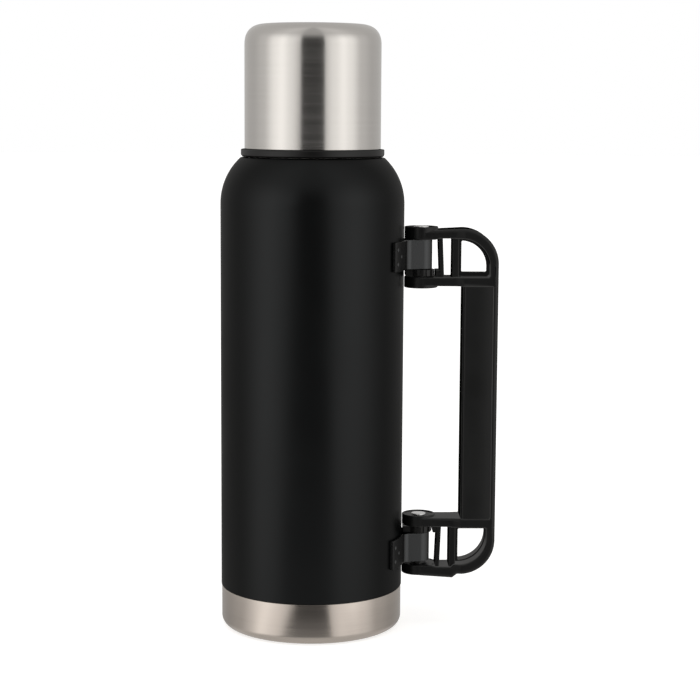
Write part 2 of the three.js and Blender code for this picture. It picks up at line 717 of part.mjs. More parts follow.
function handleFrame() {
  const below = rim(LOWER_ARM_FOOT).map(([x, h]) => [x, -h]);
  let frame = sidePlate(rim(UPPER_ARM_TOP).concat(below.reverse()), WELL_CLEAR);
  // seen from above: round at the knuckle, widening to the grip, rounded at the outer rim
  const edge = HANDLE_EDGE_R;
  const plan = [
    ...arc(PIVOT_X, 0, KNUCKLE_R, 95, 265, 12),
    [ARM_X, -ARM_HALF_WIDTH],
    [GRIP_START_X, -HANDLE_HALF_WIDTH],
    ...arc(HANDLE_X - edge, -HANDLE_HALF_WIDTH + edge, edge, -90, 0, 3),
    ...arc(HANDLE_X - edge, HANDLE_HALF_WIDTH - edge, edge, 0, 90, 3),
    [GRIP_START_X, HANDLE_HALF_WIDTH],
    [ARM_X, ARM_HALF_WIDTH],
  ];
  const reach = OUTER_KNUCKLE_FAR + WELL_CLEAR;
  frame = frame.intersect(standing(plan, HANDLE_MID_Z - reach, HANDLE_MID_Z + reach));
  const f = GRIP_OPENING_FILLET;
  const grip = sidePlate(
    [
      [PIVOT_X - WELL_CLEAR, GRIP_OPENING_HALF],
      [PIVOT_X - WELL_CLEAR, -GRIP_OPENING_HALF],
      ...arc(GRIP_X - f, -GRIP_OPENING_HALF + f, f, -90, 0, 3),
      ...arc(GRIP_X - f, GRIP_OPENING_HALF - f, f, 0, 90, 3),
    ],
    WELL_CLEAR,
  );
  frame = frame.subtract(grip);
  // room for the pad on both sides of the web
  const padLow = HANDLE_MID_Z - PAD_HALF_HEIGHT - GAP;
  const padHigh = HANDLE_MID_Z + PAD_HALF_HEIGHT + GAP;
  const padX = GRIP_X - WELL_CLEAR;
  frame = frame.subtract(box(padX, WEB_X, -WELL_CLEAR, WELL_CLEAR, padLow, padHigh));
  frame = frame.subtract(box(padX, SPINE_X, WEB_HALF_WIDTH, WELL_CLEAR, padLow, padHigh));
  frame = frame.subtract(box(padX, SPINE_X, -WELL_CLEAR, -WEB_HALF_WIDTH, padLow, padHigh));
  for (const side of [1, -1]) {
    frame = frame.subtract(ribRelief(side));
    const [outLow, outHigh] = span(side, OUTER_KNUCKLE_NEAR[nameOf(side)], OUTER_KNUCKLE_FAR);
    const [inLow, inHigh] = span(side, INNER_KNUCKLE_NEAR, INNER_KNUCKLE_FAR);
    frame = frame.add(disc(KNUCKLE_R, outLow, outHigh, 28, PIVOT_X));
    frame = frame.add(disc(KNUCKLE_R, inLow, inHigh, 28, PIVOT_X));
    frame = frame.subtract(openings(side)).add(windowWeb(side));
    const [low, high] = hingeEnds(side);
    const hole = disc(PIN_HOLE_R, low - WELL_CLEAR, high + WELL_CLEAR, FACETS_SMALL, PIVOT_X);
    frame = frame.subtract(hole);
    frame = frame.subtract(disc(RECESS_R, high - RECESS_DEPTH, high + WELL_CLEAR, 28, PIVOT_X));
    const pocketTop = low + WASHER_POCKET_DEPTH;
    frame = frame.subtract(disc(WASHER_POCKET_R, low - WELL_CLEAR, pocketTop, FACETS_SMALL, PIVOT_X));
  }
  return frame;
}

function gripPad() {
  const edge = HANDLE_EDGE_R;
  const slotHalf = WEB_HALF_WIDTH + GAP;
  const outline = [
    [PAD_OUTER_X, -HANDLE_HALF_WIDTH],
    [PAD_OUTER_X, -slotHalf],
    [WEB_X - GAP, -slotHalf],
    [WEB_X - GAP, slotHalf],
    [PAD_OUTER_X, slotHalf],
    [PAD_OUTER_X, HANDLE_HALF_WIDTH],
    ...arc(GRIP_X + edge, HANDLE_HALF_WIDTH - edge, edge, 90, 180, 4),
    ...arc(GRIP_X + edge, -HANDLE_HALF_WIDTH + edge, edge, 180, 270, 4),
  ];
  return standing(outline, HANDLE_MID_Z - PAD_HALF_HEIGHT, HANDLE_MID_Z + PAD_HALF_HEIGHT);
}

// ---- assembly -----------------------------------------------------------------------------------
addNode("outer_shell", outerShell(), powderBlack);
addNode("base_cup", baseCup(), brushedSteel);
addNode("outer_bottom", outerBottom(), brushedSteel);
addNode("vacuum_seal", vacuumSeal(), sealMetal);
addNode("getter", getter(), getterMetal);
addNode("inner_liner", innerLiner(), brushedSteel);
addNode("liner_floor", linerFloor(), brushedSteel);

addNode("stopper_body", stopperBody(), lidPlastic);
addNode("stopper_knob", stopperKnob(), lidPlastic);
addNode("stopper_foam", stopperFoam(), foam);
addNode("stopper_seal", stopperSeal(), silicone);

addNode("cup_shell", cupShell(), brushedSteel);
addNode("cup_liner", cupLiner(), lidPlastic);
addNode("cup_gasket", cupGasket(), silicone);

for (const [name, side] of [["upper", 1], ["lower", -1]]) {
  addNode(name + "_strap", hingeStrap(side), strapPaint);
  addNode(name + "_bush", hingeBush(side), handlePlastic);
  addNode(name + "_pin", hingePin(side), pinSteel);
  addNode(name + "_washer", pinWasher(side), pinSteel);
}
addNode("handle_frame", handleFrame(), handlePlastic);
addNode("grip_pad", gripPad(), gripRubber);

export default root;
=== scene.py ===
"""Looks of the insulated growler: powder-coated bottle, brushed-steel foot and cup lid, folding handle.

Profiles and outlines are in millimetres in the CAD's frame and become metres when a mesh is made.
"""
import math

import bmesh
import bpy
from mathutils import Euler, Matrix, Vector


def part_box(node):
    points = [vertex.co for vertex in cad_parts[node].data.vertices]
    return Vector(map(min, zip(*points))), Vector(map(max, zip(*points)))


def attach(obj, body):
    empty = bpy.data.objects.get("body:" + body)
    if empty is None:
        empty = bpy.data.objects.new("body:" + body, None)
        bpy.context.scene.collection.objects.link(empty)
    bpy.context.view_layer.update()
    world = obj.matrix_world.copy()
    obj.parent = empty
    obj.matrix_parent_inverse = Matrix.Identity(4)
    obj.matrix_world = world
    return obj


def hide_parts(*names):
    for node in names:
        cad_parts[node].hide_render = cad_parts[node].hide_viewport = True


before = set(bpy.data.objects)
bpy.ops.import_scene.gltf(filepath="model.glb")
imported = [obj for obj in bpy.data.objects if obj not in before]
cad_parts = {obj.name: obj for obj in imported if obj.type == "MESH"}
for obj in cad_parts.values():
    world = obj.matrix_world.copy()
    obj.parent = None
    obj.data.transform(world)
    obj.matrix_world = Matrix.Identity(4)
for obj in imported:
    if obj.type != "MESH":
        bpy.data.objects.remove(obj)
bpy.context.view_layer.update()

MM = 0.001
TURN = 2 * math.pi
AROUND = 256  # segments of a large turned piece
AROUND_SMALL = 96


def edges_mm(node):
    """Lowest and highest corner of a CAD node, in millimetres."""
    low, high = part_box(node)
    return [v / MM for v in low], [v / MM for v in high]


# ---- sizes, from the CAD frame where it gives them ----------------------------------------------
STEEL = 0.8
GAP = 0.3
BODY_R = edges_mm("outer_shell")[1][0]
SHELL_FOOT_Z = edges_mm("outer_shell")[0][2]
NECK_TOP_Z = edges_mm("outer_shell")[1][2]
SHOULDER_Z = 224
SHOULDER_ARC_R = 32.3
LEDGE_R = 37.5
NECK_R = 31.2
BASE_R = edges_mm("base_cup")[1][0]
BASE_TOP_Z = edges_mm("base_cup")[1][2]
BASE_EDGE_R = 5
GROOVE_R = 31  # the ring stamped in the underside
GROOVE_HALF_WIDTH = 1.5
GROOVE_DEPTH = 0.6
LINER_R = edges_mm("inner_liner")[1][0]
LINER_FOOT_Z = edges_mm("inner_liner")[0][2]
LIP_TOP_Z = edges_mm("inner_liner")[1][2]
LINER_SHOULDER_Z = 222
LINER_ARC_DEG = 60  # how far the inner shoulder curves before it meets the neck
LINER_NECK_R = 28.5
LIP_R = 31.2
FLOOR_R = edges_mm("liner_floor")[1][0]
FLOOR_Z = edges_mm("liner_floor")[0][2]
FLOOR_RIM_Z = edges_mm("liner_floor")[1][2]

PITCH = 6
THREAD_TURNS = 1.25
THREAD_WIDTH = 2.4
THREAD_CREST = 1.2
THREAD_RUN_OUT = 0.08
THREAD_BITE = 0.3
NECK_THREAD_Z = 255
STOPPER_THREAD_Z = 248.5
NECK_CREST_R = 32.7
CUP_CREST_R = 31.6
STOPPER_CREST_R = 27.3
MOUTH_CREST_R = 26.6

PLUG_R = 26.2
PLUG_WALL = 1.6
PLUG_FLOOR_Z = edges_mm("stopper_body")[0][2]
FLANGE_TOP_Z = edges_mm("stopper_body")[1][2]
FLANGE_THICK = 2
FLANGE_R = 30.4
KNOB_LOW_Z = edges_mm("stopper_knob")[0][2]
KNOB_TOP_Z = edges_mm("stopper_knob")[1][2]
KNOB_WALL = 2.8
KNOB_EDGE_R = 2.5
KNOB_DISH_R = 20
KNOB_DISH_DEPTH = 0.8
FLUTES = 12
FLUTE_DEPTH = 1.2
FLUTE_FOOT = 2  # the flutes start this high on the knob
STOPPER_SEAL_INNER_R = 26.8
STOPPER_SEAL_OUTER_R = 30.2

CUP_R = edges_mm("cup_shell")[1][0]
CUP_FOOT_Z = edges_mm("cup_shell")[0][2]
CUP_TOP_Z = edges_mm("cup_shell")[1][2]
CUP_CROWN = 0.3
CUP_CORNER_WIDTH = 11.5
CUP_CORNER_HEIGHT = 11
CUP_CORNER_POWER = 2.5
CUP_CORNER_Z = CUP_TOP_Z - CUP_CROWN - CUP_CORNER_HEIGHT
CUP_LINER_R = 34.3
CUP_LINER_WALL = 1.3
CUP_HEADROOM = 0.7
RING_R = edges_mm("cup_liner")[1][0]
RING_FOOT_Z = edges_mm("cup_liner")[0][2]
RING_TOP_Z = 252.2
GASKET_GROOVE_INNER_R = 33.8
GASKET_GROOVE_OUTER_R = 36.2
GASKET_GROOVE_DEPTH = 1.7

PIVOT_X = sum(corner[0] for corner in edges_mm("upper_washer")) / 2
MID_Z = sum(corner[2] for corner in edges_mm("grip_pad")) / 2
KNUCKLE_R = 8.8
# heights above and below the handle's middle
OUTER_FAR = 92.5
OUTER_NEAR = {1: 85.9, -1: 87.2}  # by side: 1 is the upper hinge, -1 the lower one
SLOT_FAR = {1: 86.6, -1: 88.0}
INNER_FAR = 66.4
INNER_NEAR = 60.5
BUSH_FLANGE_NEAR = 66.7
BUSH_FLANGE_FAR = 70.1
STRAP_THICK = 1.2
STRAP_LOOP_R = 5.8
STRAP_BEND_R = 4
STRAP_TAPER_DEG = 10  # the straight run towards the loop leans in by this much
STRAP_WRAP_DEG = 31
BUSH_R = 4.3
BUSH_FLANGE_R = 7
BUSH_TEETH = 12
BUSH_TOOTH_DEPTH = 0.7
BUSH_TAIL_X = edges_mm("upper_bush")[0][0]
BUSH_TAIL_HALF_WIDTH = 5
PIN_R = 2.5
PIN_HOLE_R = 2.8
PIN_HEAD_R = 3.75
PIN_HEAD_HEIGHT = 0.7
WASHER_R = 4.4
RECESS_R = 7.6
RECESS_DEPTH = 0.7
POCKET_R = 4.8
POCKET_DEPTH = 1
HALF_WIDTH = edges_mm("handle_frame")[1][1]
ARM_HALF_WIDTH = 9.2
ARM_X = 74
FULL_WIDTH_X = 80
ARM_NEAR = 61.7
RIM_CORNER_X = 78.7
RIM_CORNER_R = 18.4
RIM_TOP = 91.7
D_X = 76.4
D_FOOT = 66.6
D_ARC_X = 77.8
D_ARC_Z = 71.6
D_ARC_R = 14.9
D_FILLET = 1.2
D_WEB_X = 78.1
D_WEB_FOOT = 68.8
D_WEB_ARC_R = {1: 13.5, -1: 14.3}
D_WEB_FILLET = 0.6
D_WEB_HALF_THICK = 1.2
RIB_FOOT = 66  # both ribs start inside the inner arm
RIB_ONE_NEAR = (66.6, 68.8)  # the narrow rib's two sides at the inner arm
RIB_ONE_FAR = (65.7, 67.9)  # and at the outer arm
RIB_ONE_HALF_WIDTH = 6.8
RIB_TWO_X = 73  # the wide rib reaches from here to the window
RIB_TWO_HALF_WIDTH = 7.4
BLOCK_X = (64.4, 67.8)
BLOCK_HEIGHT = (65.5, 69.9)
BLOCK_HALF_WIDTH = 6
ARM_TOP = 90.7  # the upper arm at the knuckle
ARM_FOOT = (92.8, 93.9)  # the lower arm at the knuckle and at its step
ARM_STEP_X = (74.8, 77.3)  # where that step starts and ends
GRIP_X = edges_mm("grip_pad")[0][0]
PAD_OUTER_X = edges_mm("grip_pad")[1][0]
SPINE_X = PAD_OUTER_X + GAP
WEB_X = (84, 95)
WEB_HALF_HEIGHT = 62.2
WEB_HALF_WIDTH = 3


# ---- outlines -----------------------------------------------------------------------------------
def arc(cx, cy, r, start, end, steps):
    """Points of an arc, angles in degrees."""
    angles = [math.radians(start + (end - start) * i / steps) for i in range(steps + 1)]
    return [(cx + r * math.cos(a), cy + r * math.sin(a)) for a in angles]


def square_corner(cx, cy, width, height, steps=20):
    """A quarter of a superellipse, from its widest point up to its top."""
    points = []
    for i in range(steps + 1):
        a = math.pi / 2 * i / steps
        c, s = max(0, math.cos(a)), max(0, math.sin(a))
        power = 2 / CUP_CORNER_POWER
        points.append((cx + width * c ** power, cy + height * s ** power))
    return points


def rounded(points, steps=4):
    """The closed outline with each (x, y, r) corner turned into an arc of radius r; (x, y) stays sharp."""
    made = []
    count = len(points)
    for i, point in enumerate(points):
        if len(point) == 2 or point[2] <= 0:
            made.append(tuple(point[:2]))
            continue
        here = Vector(point[:2])
        before = Vector(points[i - 1][:2]) - here
        after = Vector(points[(i + 1) % count][:2]) - here
        half = before.angle(after) / 2
        reach = min(point[2] / math.tan(half), 0.49 * before.length, 0.49 * after.length)
        r = reach * math.tan(half)
        centre = here + (before.normalized() + after.normalized()).normalized() * r / math.sin(half)
        start = here + before.normalized() * reach - centre
        end = here + after.normalized() * reach - centre
        swing = math.atan2(start.x * end.y - start.y * end.x, start.dot(end))
        turn = math.atan2(start.y, start.x)
        made += [
            (centre.x + r * math.cos(a), centre.y + r * math.sin(a))
            for a in (turn + swing * k / steps for k in range(steps + 1))
        ]
    return made


def area(outline):
    return sum(a[0] * b[1] - b[0] * a[1] for a, b in zip(outline, outline[1:] + outline[:1])) / 2


def inset(outline, depth, shares=None):
    """A counter-clockwise outline moved inwards by depth along its mitres, each corner by its share."""
    moved = []
    count = len(outline)
    for i, (x, y) in enumerate(outline):
        before = Vector((x, y)) - Vector(outline[i - 1])
        after = Vector(outline[(i + 1) % count]) - Vector((x, y))
        n1 = Vector((-before.y, before.x)).normalized()
        n2 = Vector((-after.y, after.x)).normalized()
        mitre = (n1 + n2).normalized()
        reach = depth * (shares[i] if shares else 1)
        moved.append(Vector((x, y)) + mitre * reach / max(0.4, mitre.dot(n1)))
    return [tuple(v) for v in moved]


# ---- meshes -------------------------------------------------------------------------------------
def finish_mesh(bm, name, sharp_deg=32, weighted=False):
    bmesh.ops.remove_doubles(bm, verts=bm.verts, dist=1e-7)
    bmesh.ops.recalc_face_normals(bm, faces=bm.faces)
    mesh = bpy.data.meshes.new(name)
    bm.to_mesh(mesh)
    bm.free()
    return make_object(name, mesh, sharp_deg, weighted)


def make_object(name, mesh, sharp_deg=32, weighted=False):
    for polygon in mesh.polygons:
        polygon.use_smooth = True
    mesh.set_sharp_from_angle(angle=math.radians(sharp_deg))
    made = bpy.data.objects.new(name, mesh)
    bpy.context.scene.collection.objects.link(made)
    if weighted:
        modifier = made.modifiers.new("weighted", "WEIGHTED_NORMAL")
        modifier.keep_sharp = True
        modifier.weight = 100
    return made


def lathe(name, profile, segments=AROUND, axis_x=0.0, sharp_deg=32):
    """The closed (radius, height) profile turned about the vertical line at axis_x."""
    bm = bmesh.new()
    on_axis = {i: bm.verts.new((axis_x * MM, 0, z * MM)) for i, (r, z) in enumerate(profile) if r < 1e-6}
    rings = []
    for j in range(segments):
        a = TURN * j / segments
        c, s = math.cos(a) * MM, math.sin(a) * MM
        rings.append(
            [
                on_axis.get(i) or bm.verts.new((axis_x * MM + r * c, r * s, z * MM))
                for i, (r, z) in enumerate(profile)
            ]
        )
    for j, ring in enumerate(rings):
        following = rings[(j + 1) % segments]
        for i in range(len(profile)):
            k = (i + 1) % len(profile)
            corners = list(dict.fromkeys([ring[i], ring[k], following[k], following[i]]))
            if len(corners) > 2:
                bm.faces.new(corners)
    return finish_mesh(bm, name, sharp_deg)


def slab(name, outline, low, high, edge, place, steps=4, cuts=(), shares=None):
    """An outline given a thickness from low to high, its two rims rounded by edge.

    place turns (outline x, outline y, height) into a point in millimetres; cuts are values of the outline's
    x where the flat faces are split, so that place may bend there. shares scales the rounding at each point.
    """
    if area(outline) < 0:
        outline = outline[::-1]
        shares = shares[::-1] if shares else None
    levels = []
    for k in range(steps + 1):
        a = math.pi / 2 * k / steps
        levels.append((edge * (1 - math.sin(a)), low + edge * (1 - math.cos(a))))
    levels += [(depth, low + high - z) for depth, z in reversed(levels)]
    bm = bmesh.new()
    rings = [[bm.verts.new((x, y, z)) for x, y in inset(outline, depth, shares)] for depth, z in levels]
    for lower, upper in zip(rings, rings[1:]):
        for i in range(len(lower)):
            k = (i + 1) % len(lower)
            bm.faces.new((lower[i], lower[k], upper[k], upper[i]))
    bm.faces.new(rings[0][::-1])
    bm.faces.new(rings[-1])
    for x in cuts:
        everything = bm.verts[:] + bm.edges[:] + bm.faces[:]
        bmesh.ops.bisect_plane(bm, geom=everything, dist=1e-6, plane_co=(x, 0, 0), plane_no=(1, 0, 0))
    for v in bm.verts:
        v.co = Vector(place(*v.co)) * MM
    return finish_mesh(bm, name, weighted=True)


def ring_plate(name, outer, inner, half, edge, place):
    """A flat ring between two outlines of equally many points, its inner rim softened by edge."""
    softened = inset(inner, -edge)
    loops = [(outer, -half), (softened, -half), (inner, edge - half), (inner, half - edge), (softened, half),
             (outer, half)]
    bm = bmesh.new()
    rings = [[bm.verts.new(Vector(place(x, y, z)) * MM) for x, y in outline] for outline, z in loops]
    for ring, following in zip(rings, rings[1:] + rings[:1]):
        for i in range(len(outer)):
            k = (i + 1) % len(outer)
            bm.faces.new((ring[i], ring[k], following[k], following[i]))
    return finish_mesh(bm, name)


def upright(x, y, z):
    return (x, y, z)


def union(name, parts):
    """One closed mesh from overlapping ones; the parts are used up."""
    base, others = parts[0], parts[1:]
    cutters = bpy.data.collections.new(name + "_parts")
    for part in others:
        cutters.objects.link(part)
    for part in parts:
        part.modifiers.clear()
    join = base.modifiers.new("join", "BOOLEAN")
    join.operation = "UNION"
    join.solver = "EXACT"
    join.operand_type = "COLLECTION"
    join.collection = cutters
    depsgraph = bpy.context.evaluated_depsgraph_get()
    mesh = bpy.data.meshes.new_from_object(base.evaluated_get(depsgraph))
    mesh.name = name
    for part in parts:
        bpy.data.objects.remove(part)
    bpy.data.collections.remove(cutters)
    return make_object(name, mesh, weighted=True)


def thread_ridge(name, root_r, crest_r, start_z):
    """A trapezoid ridge wound round the axis, its ends run out into the wall, with a softened crest."""
    out = 1 if crest_r > root_r else -1
    soft = 0.25
    section = rounded(
        [
            (root_r, -THREAD_WIDTH / 2),
            (crest_r, -THREAD_CREST / 2, soft),
            (crest_r, THREAD_CREST / 2, soft),
            (root_r, THREAD_WIDTH / 2),
        ],
        3,
    )
    steps = int(THREAD_TURNS * AROUND * 0.75)
    bm = bmesh.new()
    rings = []
    for i in range(steps + 1):
        t = i / steps
        full = min(1, max(0.15, min(t, 1 - t) / THREAD_RUN_OUT))
        a = t * THREAD_TURNS * TURN
        z = start_z + PITCH * THREAD_TURNS * t
        rings.append(
            [
                bm.verts.new(Vector((r * math.cos(a), r * math.sin(a), z + h)) * MM)
                for r, h in ((root_r + (r - root_r) * full, h) for r, h in section)
            ]
        )
    for ring, following in zip(rings, rings[1:]):
        for i in range(len(section)):
            k = (i + 1) % len(section)
            bm.faces.new((ring[i], ring[k], following[k], following[i]))
    bm.faces.new(rings[0] if out > 0 else rings[0][::-1])
    bm.faces.new(rings[-1][::-1] if out > 0 else rings[-1])
    return finish_mesh(bm, name)


# ---- materials ----------------------------------------------------------------------------------
class Tree:
    """A node tree, with short ways to add and link nodes."""

    def __init__(self, tree):
        self.tree = tree

    def add(self, kind, **values):
        node = self.tree.nodes.new(kind)
        for key, value in values.items():
            if key in node.inputs:
                node.inputs[key].default_value = value
            else:
                setattr(node, key, value)
        return node

    def link(self, output, target):
        self.tree.links.new(output, target)

    def math(self, operation, a, b=None):
        node = self.add("ShaderNodeMath", operation=operation)
        for socket, value in zip(node.inputs, (a, b)):
            if isinstance(value, (int, float)):
                socket.default_value = value
            elif value is not None:
                self.link(value, socket)
        return node.outputs[0]

    def smooth_step(self, value, start, end, low, high):
        """Goes softly from low to high while the value goes from start to end."""
        node = self.add("ShaderNodeMapRange", interpolation_type="SMOOTHSTEP")
        node.inputs["From Min"].default_value = start
        node.inputs["From Max"].default_value = end
        node.inputs["To Min"].default_value = low
        node.inputs["To Max"].default_value = high
        self.link(value, node.inputs["Value"])
        return node.outputs["Result"]

    def mix(self, share, a, b, blend="MIX"):
        """A blend of two colours; share and both colours may be values or another node's output."""
        node = self.add("ShaderNodeMix", data_type="RGBA", blend_type=blend)
        # the colour sockets of this node are the ones numbered 6 and 7
        for socket, value in ((node.inputs[0], share), (node.inputs[6], a), (node.inputs[7], b)):
            if isinstance(value, bpy.types.NodeSocket):
                self.link(value, socket)
            elif isinstance(value, tuple):
                socket.default_value = (*value, 1)
            else:
                socket.default_value = value
        return node.outputs[2]


class Material(Tree):
    """A material made of a Principled BSDF and what feeds it."""

    def __init__(self, name, base, roughness, metallic=0.0):
        self.material = bpy.data.materials.new(name)
        self.material.use_nodes = True
        super().__init__(self.material.node_tree)
        self.shader = self.tree.nodes["Principled BSDF"]
        self.shader.inputs["Base Color"].default_value = (*base, 1)
        self.shader.inputs["Roughness"].default_value = roughness
        self.shader.inputs["Metallic"].default_value = metallic

    def position(self):
        return self.add("ShaderNodeTexCoord").outputs["Object"]

    def noise(self, vector, scale, detail=3.0, roughness=0.55):
        node = self.add("ShaderNodeTexNoise", Scale=scale, Detail=detail, Roughness=roughness)
        self.link(vector, node.inputs["Vector"])
        return node.outputs["Fac"]

    def spread(self, value, low, high):
        """Maps a noise value, which stays near its middle, to low..high."""
        node = self.add("ShaderNodeMapRange")
        node.inputs["From Min"].default_value = 0.3
        node.inputs["From Max"].default_value = 0.7
        node.inputs["To Min"].default_value = low
        node.inputs["To Max"].default_value = high
        self.link(value, node.inputs["Value"])
        return node.outputs["Result"]

    def tint(self, value, dark, light):
        self.link(self.mix(value, dark, light), self.shader.inputs["Base Color"])

    def roughness(self, value, low, high):
        self.link(self.spread(value, low, high), self.shader.inputs["Roughness"])

    def gloss(self, facing, grazing, start, end, share):
        """The strength of the reflection, seen straight on and at a grazing angle.

        Between start and end, on a scale from 0 straight on to 1 at grazing, it also falls to share of that.
        """
        turned_away = self.add("ShaderNodeLayerWeight", Blend=0.5).outputs["Facing"]
        strength = self.smooth_step(turned_away, 0.25, 0.85, facing, grazing)
        kept = self.smooth_step(turned_away, start, end, 1.0, share)
        self.link(self.math("MULTIPLY", strength, kept), self.shader.inputs["Specular IOR Level"])

    def bump(self, height, strength, distance):
        node = self.add("ShaderNodeBump", Strength=strength, Distance=distance)
        self.link(height, node.inputs["Height"])
        self.link(node.outputs["Normal"], self.shader.inputs["Normal"])


def brushed_steel(name, dark, light, rough, streaks=2600.0, bump=0.03, anisotropy=0.75):
    """Steel brushed round its axis: streaks that run round it, which blur reflections along the height."""
    n = Material(name, light, rough, 1.0)
    parts = n.add("ShaderNodeSeparateXYZ")
    n.link(n.position(), parts.inputs[0])
    x, y, z = parts.outputs
    radius = n.math("SQRT", n.math("ADD", n.math("MULTIPLY", x, x), n.math("MULTIPLY", y, y)))
    along = n.math("SUBTRACT", z, radius)

    def streaked(round_scale, along_scale, detail, roughness=0.55):
        vector = n.add("ShaderNodeCombineXYZ")
        for i, (part, scale) in enumerate(((x, round_scale), (y, round_scale), (along, along_scale))):
            n.link(n.math("MULTIPLY", part, scale), vector.inputs[i])
        return n.noise(vector.outputs[0], 1.0, detail, roughness)

    fine = streaked(14.0, streaks, 4.0, 0.6)
    coarse = streaked(9.0, streaks * 0.12, 2.0)
    both = n.math("ADD", n.math("MULTIPLY", fine, 0.65), n.math("MULTIPLY", coarse, 0.35))
    n.tint(n.spread(both, 0.0, 1.0), dark, light)
    n.roughness(both, rough - 0.04, rough + 0.05)
    n.bump(fine, bump, 0.00005)
    tangent = n.add("ShaderNodeTangent", direction_type="RADIAL", axis="Z")
    n.link(tangent.outputs[0], n.shader.inputs["Tangent"])
    n.shader.inputs["Anisotropic"].default_value = anisotropy
    n.shader.inputs["Anisotropic Rotation"].default_value = 0.25
    return n.material


def powder_coat(name, dark, light, rough, gloss, fall, grain=1500.0, bump=0.12):
    """Satin powder coat with a fine orange peel; gloss and fall are what Material.gloss takes."""
    n = Material(name, light, rough)
    where = n.position()
    peel = n.noise(where, grain, 2.0)
    drift = n.noise(where, 22.0, 2.0)
    both = n.math("ADD", n.math("MULTIPLY", peel, 0.5), n.math("MULTIPLY", drift, 0.5))
    n.tint(n.spread(both, 0, 1), dark, light)
    n.roughness(drift, rough - 0.03, rough + 0.03)
    n.bump(peel, bump, 0.00006)
    n.gloss(*gloss, *fall)
    n.shader.inputs["Specular Tint"].default_value = (0.94, 0.975, 1.0, 1)
    return n.material


def moulded(name, dark, light, rough, gloss=(0.35, 0.1), grain=2300.0, bump=0.1):
    """Moulded plastic or rubber with a fine spark-eroded grain."""
    n = Material(name, light, rough)
    where = n.position()
    cells = n.add("ShaderNodeTexVoronoi", Scale=grain)
    n.link(where, cells.inputs["Vector"])
    ripple = n.noise(where, grain * 0.35, 2.0)
    grainy = n.math("ADD", n.math("MULTIPLY", cells.outputs["Distance"], 0.6), ripple)
    flow = n.noise(where, 35.0, 3.0)
    n.tint(n.spread(flow, 0.0, 1.0), dark, light)
    n.roughness(flow, rough - 0.04, rough + 0.05)
    n.bump(grainy, bump, 0.00005)
    n.gloss(*gloss, 0.80, 0.92, 0.0)
    return n.material


def soft_foam(name, dark, light):
    n = Material(name, light, 0.9)
    where = n.position()
    cells = n.add("ShaderNodeTexVoronoi", Scale=900.0)
    n.link(where, cells.inputs["Vector"])
    n.tint(cells.outputs["Distance"], dark, light)
    n.bump(cells.outputs["Distance"], 0.5, 0.0003)
    return n.material


def cast_metal(name, dark, light, rough):
    n = Material(name, light, rough, 1.0)
    speckle = n.noise(n.position(), 1800.0, 4.0)
    n.tint(n.spread(speckle, 0.0, 1.0), dark, light)
    n.roughness(speckle, rough - 0.1, rough + 0.1)
    n.bump(speckle, 0.3, 0.0001)
    return n.material


cup_steel = brushed_steel("cup_steel", (0.60, 0.58, 0.555), (0.645, 0.625, 0.60), 0.21)
base_steel = brushed_steel("base_steel", (0.505, 0.453, 0.41), (0.55, 0.495, 0.447), 0.21)
inner_steel = brushed_steel("inner_steel", (0.50, 0.49, 0.48), (0.62, 0.61, 0.60), 0.28, 1800.0)
black_coat = powder_coat(
    "black_coat", (0.0010, 0.0012, 0.0012), (0.0016, 0.0018, 0.0018), 0.33, (0.268, 0.03), (0.08, 0.45, 0.42)
)
strap_coat = powder_coat(
    "strap_coat", (0.011, 0.011, 0.011), (0.015, 0.015, 0.015), 0.27, (0.68, 0.15), (0.38, 0.60, 0.05), 1300.0
)
handle_plastic = moulded("handle_plastic", (0.0035, 0.0037, 0.0037), (0.0050, 0.0053, 0.0053), 0.38)
grip_rubber = moulded("grip_rubber", (0.0045, 0.0048, 0.0048), (0.0062, 0.0066, 0.0066), 0.42)
lid_plastic = moulded("lid_plastic", (0.0040, 0.0040, 0.0040), (0.0060, 0.0060, 0.0060), 0.34)
bush_plastic = moulded("bush_plastic", (0.0040, 0.0040, 0.0040), (0.0060, 0.0060, 0.0060), 0.36)
silicone = moulded("silicone", (0.56, 0.56, 0.53), (0.64, 0.64, 0.60), 0.5, (0.4, 0.3), 1500.0, 0.05)
foam = soft_foam("foam", (0.66, 0.62, 0.50), (0.82, 0.79, 0.69))
pin_steel = cast_metal("pin_steel", (0.68, 0.68, 0.68), (0.80, 0.80, 0.80), 0.25)
getter_metal = cast_metal("getter_metal", (0.15, 0.15, 0.155), (0.28, 0.28, 0.29), 0.6)
seal_metal = cast_metal("seal_metal", (0.36, 0.34, 0.28), (0.50, 0.47, 0.40), 0.45)


def dress(made, material, body, slot, *nodes):
    """Gives a piece its material and body, and hides the CAD nodes that it stands for; slot is not used."""
    made.data.materials.clear()
    made.data.materials.append(material)
    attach(made, body)
    if nodes:
        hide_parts(*nodes)
    return made


# ---- bottle -------------------------------------------------------------------------------------
shoulder_r = BODY_R - SHOULDER_ARC_R
ledge_deg = math.degrees(math.acos((LEDGE_R - shoulder_r) / SHOULDER_ARC_R))
ledge_z = SHOULDER_Z + SHOULDER_ARC_R * math.sin(math.radians(ledge_deg))


